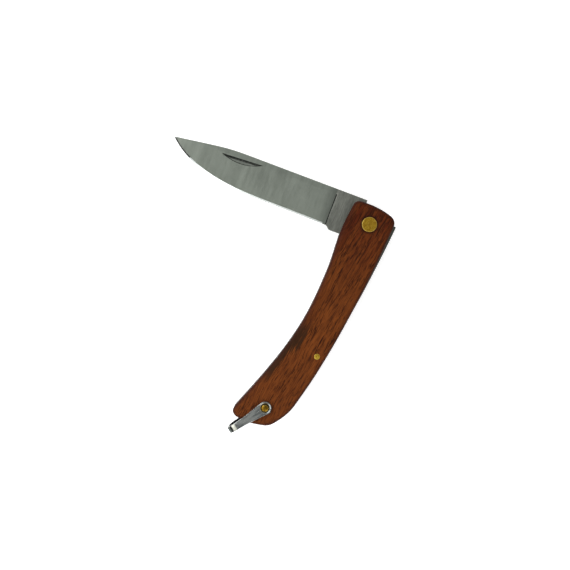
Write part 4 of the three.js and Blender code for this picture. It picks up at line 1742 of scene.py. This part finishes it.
@dataclass
class Bail:
    """The bent strap, drawn with its pin's axis at the origin and X towards the cross-bar."""

    rest_turn: float = 152.0
    length: float = 18.9
    strap: float = 0.9
    eye_radius: float = 2.85
    bar_width: float = 2.75
    bend_radius: float = 4.2
    dish_radius: float = 2.5
    dish_floor: float = 1.85  # radius where the dish's wall meets its floor
    dish_wall: float = 0.42  # depth of that wall
    dish_depth: float = 0.6
    hole_radius: float = 1.3
    leaves_at: float = 76.0  # where the leg's sides leave the round of the eye, in degrees
    neck_at: float = 0.62  # end of the curve from eye to leg, as a share of the length
    neck_width: float = 1.18  # width there, as a share of the cross-bar's
    bend_steps: int = 16
    edge_round: float = 0.2
    sharp_from: float = 0.9  # angle past which an edge is rounded, in radians
    smooth_to: float = 28.0  # faces at a greater angle than this meet in a sharp edge, in degrees
    highlight_from: float = 0.12  # share of X in the normal where a bend gets a painted highlight
    shade_from: float = 0.45  # where it gets painted shade
    bar_from: float = 0.72  # and where it becomes the cross-bar, also painted darker as shade

    def bend_at(self) -> float:
        """Where the bends start."""
        return self.length - self.bend_radius

    def width_at(self, x: float) -> float:
        """Half the strap's width past its neck."""
        neck, more = self.neck_at * self.length, self.neck_width - 1
        return self.bar_width / 2 * (self.neck_width - more * (x - neck) / (self.length + 1 - neck))

    def leg(self) -> Points:
        """One leg seen face on.

        Returns:
            Its outline, from the eye to where the bend starts and back.
        """
        bar, bend = self.bar_width / 2, self.bend_at()
        eye = arc(self.eye_radius, self.leaves_at, 360 - self.leaves_at, 56)
        neck = at(self.neck_at * self.length, -self.neck_width * bar)
        side = quadratic(eye[-1], at(0.33 * self.length, -1.5 * bar), neck, 16)
        lower = [*side, at(bend, -self.width_at(bend))]
        return closed([*eye, *lower, *(at(p.x, -p.y) for p in reversed(lower))])

    def is_inside(self, face: bmesh.types.BMFace, half: float) -> bool:
        """Whether a face is on the strap's inner side.

        Args:
            face: The face.
            half: Half the bail's whole height.

        Returns:
            True if it is.
        """
        centre, bend = face.calc_center_median(), self.bend_at()
        to_middle = at(bend, 0) - centre if centre.x > bend else Vector()
        to_middle.z = -centre.z
        under = half - self.strap + 0.05
        inner = abs(centre.z) < under and centre.x < self.length - self.strap + 0.05
        return inner and face.normal.dot(to_middle) > 0.3 * to_middle.length

    def finish_of(self, face: bmesh.types.BMFace, half: float) -> BailFace:
        """Which finish a face takes, with painted shade or a painted highlight by the way it faces.

        Args:
            face: The face.
            half: Half the bail's whole height.

        Returns:
            The part of the bail that the face belongs to.
        """
        centre = face.calc_center_median()
        # the dish's hollow and the strap's inner faces get painted shade
        in_dish = centre.to_2d().length < self.dish_floor and abs(centre.z) < half - self.dish_wall
        if in_dish or self.is_inside(face, half):
            return BailFace.INSIDE
        if centre.x < self.bend_at() or face.normal.x < self.highlight_from:
            return BailFace.OUTSIDE
        if face.normal.x < self.shade_from:
            return BailFace.UPPER_BEND
        return BailFace.BAR if face.normal.x > self.bar_from else BailFace.LOWER_BEND

    def draw_leg(self, shaper: Shaper, half: float) -> None:
        """Draws the front leg, with a dish and a hole in its eye.

        Args:
            shaper: The mesh that it is added to.
            half: Half the bail's whole height.
        """
        rim = shaper.loop(self.leg(), half)
        dish = shaper.circle(at(0, 0), self.dish_radius, half, 64)
        foot = shaper.pull(dish, up(-self.dish_wall), self.dish_floor / self.dish_radius)
        deeper = up(self.dish_wall - self.dish_depth)
        hole = shaper.pull(foot, deeper, self.hole_radius / self.dish_floor)
        hole = shaper.pull(hole, up(self.dish_depth - self.strap))
        under = shaper.pull(rim, up(-self.strap))
        shaper.fill([rim, dish])
        shaper.fill([under, hole])

    def bend_leg(self, shaper: Shaper, half: float) -> None:
        """Bends the leg's end down, and runs it on to mid-height.

        Args:
            shaper: The mesh, with one leg.
            half: Half the bail's whole height.
        """
        bm, bend, straight = shaper.bm, self.bend_at(), half - self.bend_radius
        end = [f for f in bm.faces if all(abs(v.co.x - bend) < SAME_PLACE for v in f.verts)]
        edges = once(e for f in end for e in f.edges)
        bmesh.ops.delete(bm, geom=end, context="FACES_ONLY")
        verts = once(v for e in edges for v in e.verts)
        last = bmesh.ops.spin(
            bm, geom=verts + edges, cent=(bend, 0, straight), axis=(0, 1, 0),
            angle=math.pi / 2, steps=self.bend_steps, use_merge=False, use_duplicate=False,
        )["geom_last"]
        shaper.pull([g for g in last if isinstance(g, bmesh.types.BMEdge)], up(-straight))
        for v in bm.verts:
            if v.co.x > bend + SAME_PLACE:
                v.co.y *= self.width_at(v.co.x) / self.width_at(bend)

    def build(self) -> bpy.types.Object:
        """Builds and dresses the bail.

        Returns:
            The bail.
        """
        low, high = levels("bail")
        half = (high - low) / 2
        shaper = Shaper()
        self.draw_leg(shaper, half)
        self.bend_leg(shaper, half)
        bm = shaper.bm
        bmesh.ops.mirror(bm, geom=[*bm.verts, *bm.edges, *bm.faces], axis="Z", merge_dist=1e-3)
        shaper.clean()
        near_dish = self.dish_radius + 0.2
        shaper.soften([
            e for e in bm.edges if e.calc_face_angle(0.0) > self.sharp_from
            and all(v.co.to_2d().length > near_dish for v in e.verts)
        ], self.edge_round, 4)
        for f in bm.faces:
            f.material_index = self.finish_of(f, half)
        shaper.crease(self.smooth_to)
        turn = Matrix.Rotation(math.radians(self.rest_turn), 4, "Z")
        shaper.place(Matrix.Translation((BAIL_PIN.x, BAIL_PIN.y, (low + high) / 2)) @ turn)
        finishes = [BAIL_FINISHES[part].build() for part in BailFace]
        return join(shaper.hand_over("bail_strap", finishes), "bail", Body.BAIL)


# ---------------------------------------------------------------- studio


@dataclass(frozen=True)
class Lamp:
    """A square soft light: where it hangs and its side in millimetres, and its power in watts."""

    name: str
    place: tuple[float, float, float]
    size: float
    power: float


@dataclass
class Studio:
    """A pale floor, soft light and a camera that looks straight down on the knife."""

    eye: tuple[float, float, float] = (-41.27, 19.02, 513.15)
    turn: float = -60.34
    lens: float = 72.2
    sensor: float = 36.0
    nearest: float = 0.01  # what the camera sees first, in metres
    lamps: tuple[Lamp, ...] = (
        Lamp("key", (-440, 240, 430), 520, 2.4),
        Lamp("side", (0, 640, 430), 560, 3.6),
        Lamp("fill", (-360, -420, 380), 380, 1.2),
    )
    floor_size: float = 80000.0
    floor_gap: float = 0.05
    floor_glow: float = 0.52
    horizon: Colour = (150, 151, 154)
    walls: Colour = (242, 242, 242)
    overhead: Colour = (186, 187, 186)
    walls_from: tuple[float, float] = (0.3, 0.62)  # heights between which the horizon turns to walls
    overhead_from: tuple[float, float] = (0.72, 0.92)  # and the walls to what is overhead
    sky_strength: float = 1.0

    def camera(self) -> None:
        """Puts the camera over the knife."""
        data = bpy.data.cameras.new("camera")
        data.lens = self.lens
        data.sensor_width = self.sensor
        data.clip_start = self.nearest
        data.dof.use_dof = False
        obj = bpy.data.objects.new("camera", data)
        obj.location = Vector(self.eye) * MM
        obj.rotation_euler = (0, 0, math.radians(self.turn))
        bpy.context.scene.collection.objects.link(obj)
        bpy.context.scene.camera = obj

    def floor(self) -> None:
        """Lays a plain white floor under the knife."""
        bm = bmesh.new()
        bmesh.ops.create_grid(bm, x_segments=1, y_segments=1, size=self.floor_size / 2 * MM)
        drop = CAD_BOX[0][2] - self.floor_gap * MM
        bmesh.ops.translate(bm, vec=(0, 0, drop), verts=bm.verts)
        mesh = bpy.data.meshes.new("floor")
        bm.to_mesh(mesh)
        bm.free()
        material, _, shader = surface("floor_white")
        for name, value in {
            "Base Color": (0.8, 0.8, 0.8, 1), "Roughness": 0.9, "Specular IOR Level": 0.1,
            "Emission Color": (1, 1, 1, 1), "Emission Strength": self.floor_glow,
        }.items():
            shader.inputs[name].default_value = value
        mesh.materials.append(material)
        obj = bpy.data.objects.new("floor", mesh)
        bpy.context.scene.collection.objects.link(obj)

    def hang(self, lamp: Lamp) -> None:
        """Hangs a light that faces the handle's middle.

        Args:
            lamp: The light.
        """
        data = bpy.data.lights.new(lamp.name, "AREA")
        data.size = lamp.size * MM
        data.energy = lamp.power
        obj = bpy.data.objects.new(lamp.name, data)
        obj.location = Vector(lamp.place) * MM
        aim = Vector(MIDDLE_OF_HANDLE) * MM - obj.location
        obj.rotation_euler = aim.to_track_quat("-Z", "Y").to_euler()
        bpy.context.scene.collection.objects.link(obj)

    def sky(self) -> None:
        """Lights the scene softly from all round, dimmer towards the horizon."""
        world = bpy.data.worlds.new("studio")
        world.use_nodes = True
        bpy.context.scene.world = world
        g = Graph(world.node_tree)
        way = g.add("TexCoord").outputs["Generated"]
        height = g.add("SeparateXYZ", {0: way}).outputs["Z"]
        colour = g.mix(g.ranged(height, *self.walls_from), tint(*self.horizon), tint(*self.walls))
        colour = g.mix(g.ranged(height, *self.overhead_from), colour, tint(*self.overhead))
        background = world.node_tree.nodes["Background"]
        world.node_tree.links.new(colour, background.inputs["Color"])
        background.inputs["Strength"].default_value = self.sky_strength

    def build(self) -> None:
        """Sets up the whole studio."""
        self.camera()
        self.floor()
        self.sky()
        for lamp in self.lamps:
            self.hang(lamp)
        bpy.context.scene.view_settings.view_transform = "Standard"


def main() -> None:
    """Builds the studio and the knife."""
    logging.basicConfig(level=logging.INFO, format="%(name)s: %(message)s")
    Studio().build()
    handle, blade = Handle(), Blade()
    for part in (handle, blade, BackSpring(handle, blade), Rivets(), Bail()):
        part.build()


if __name__ == "__main__":
    main()
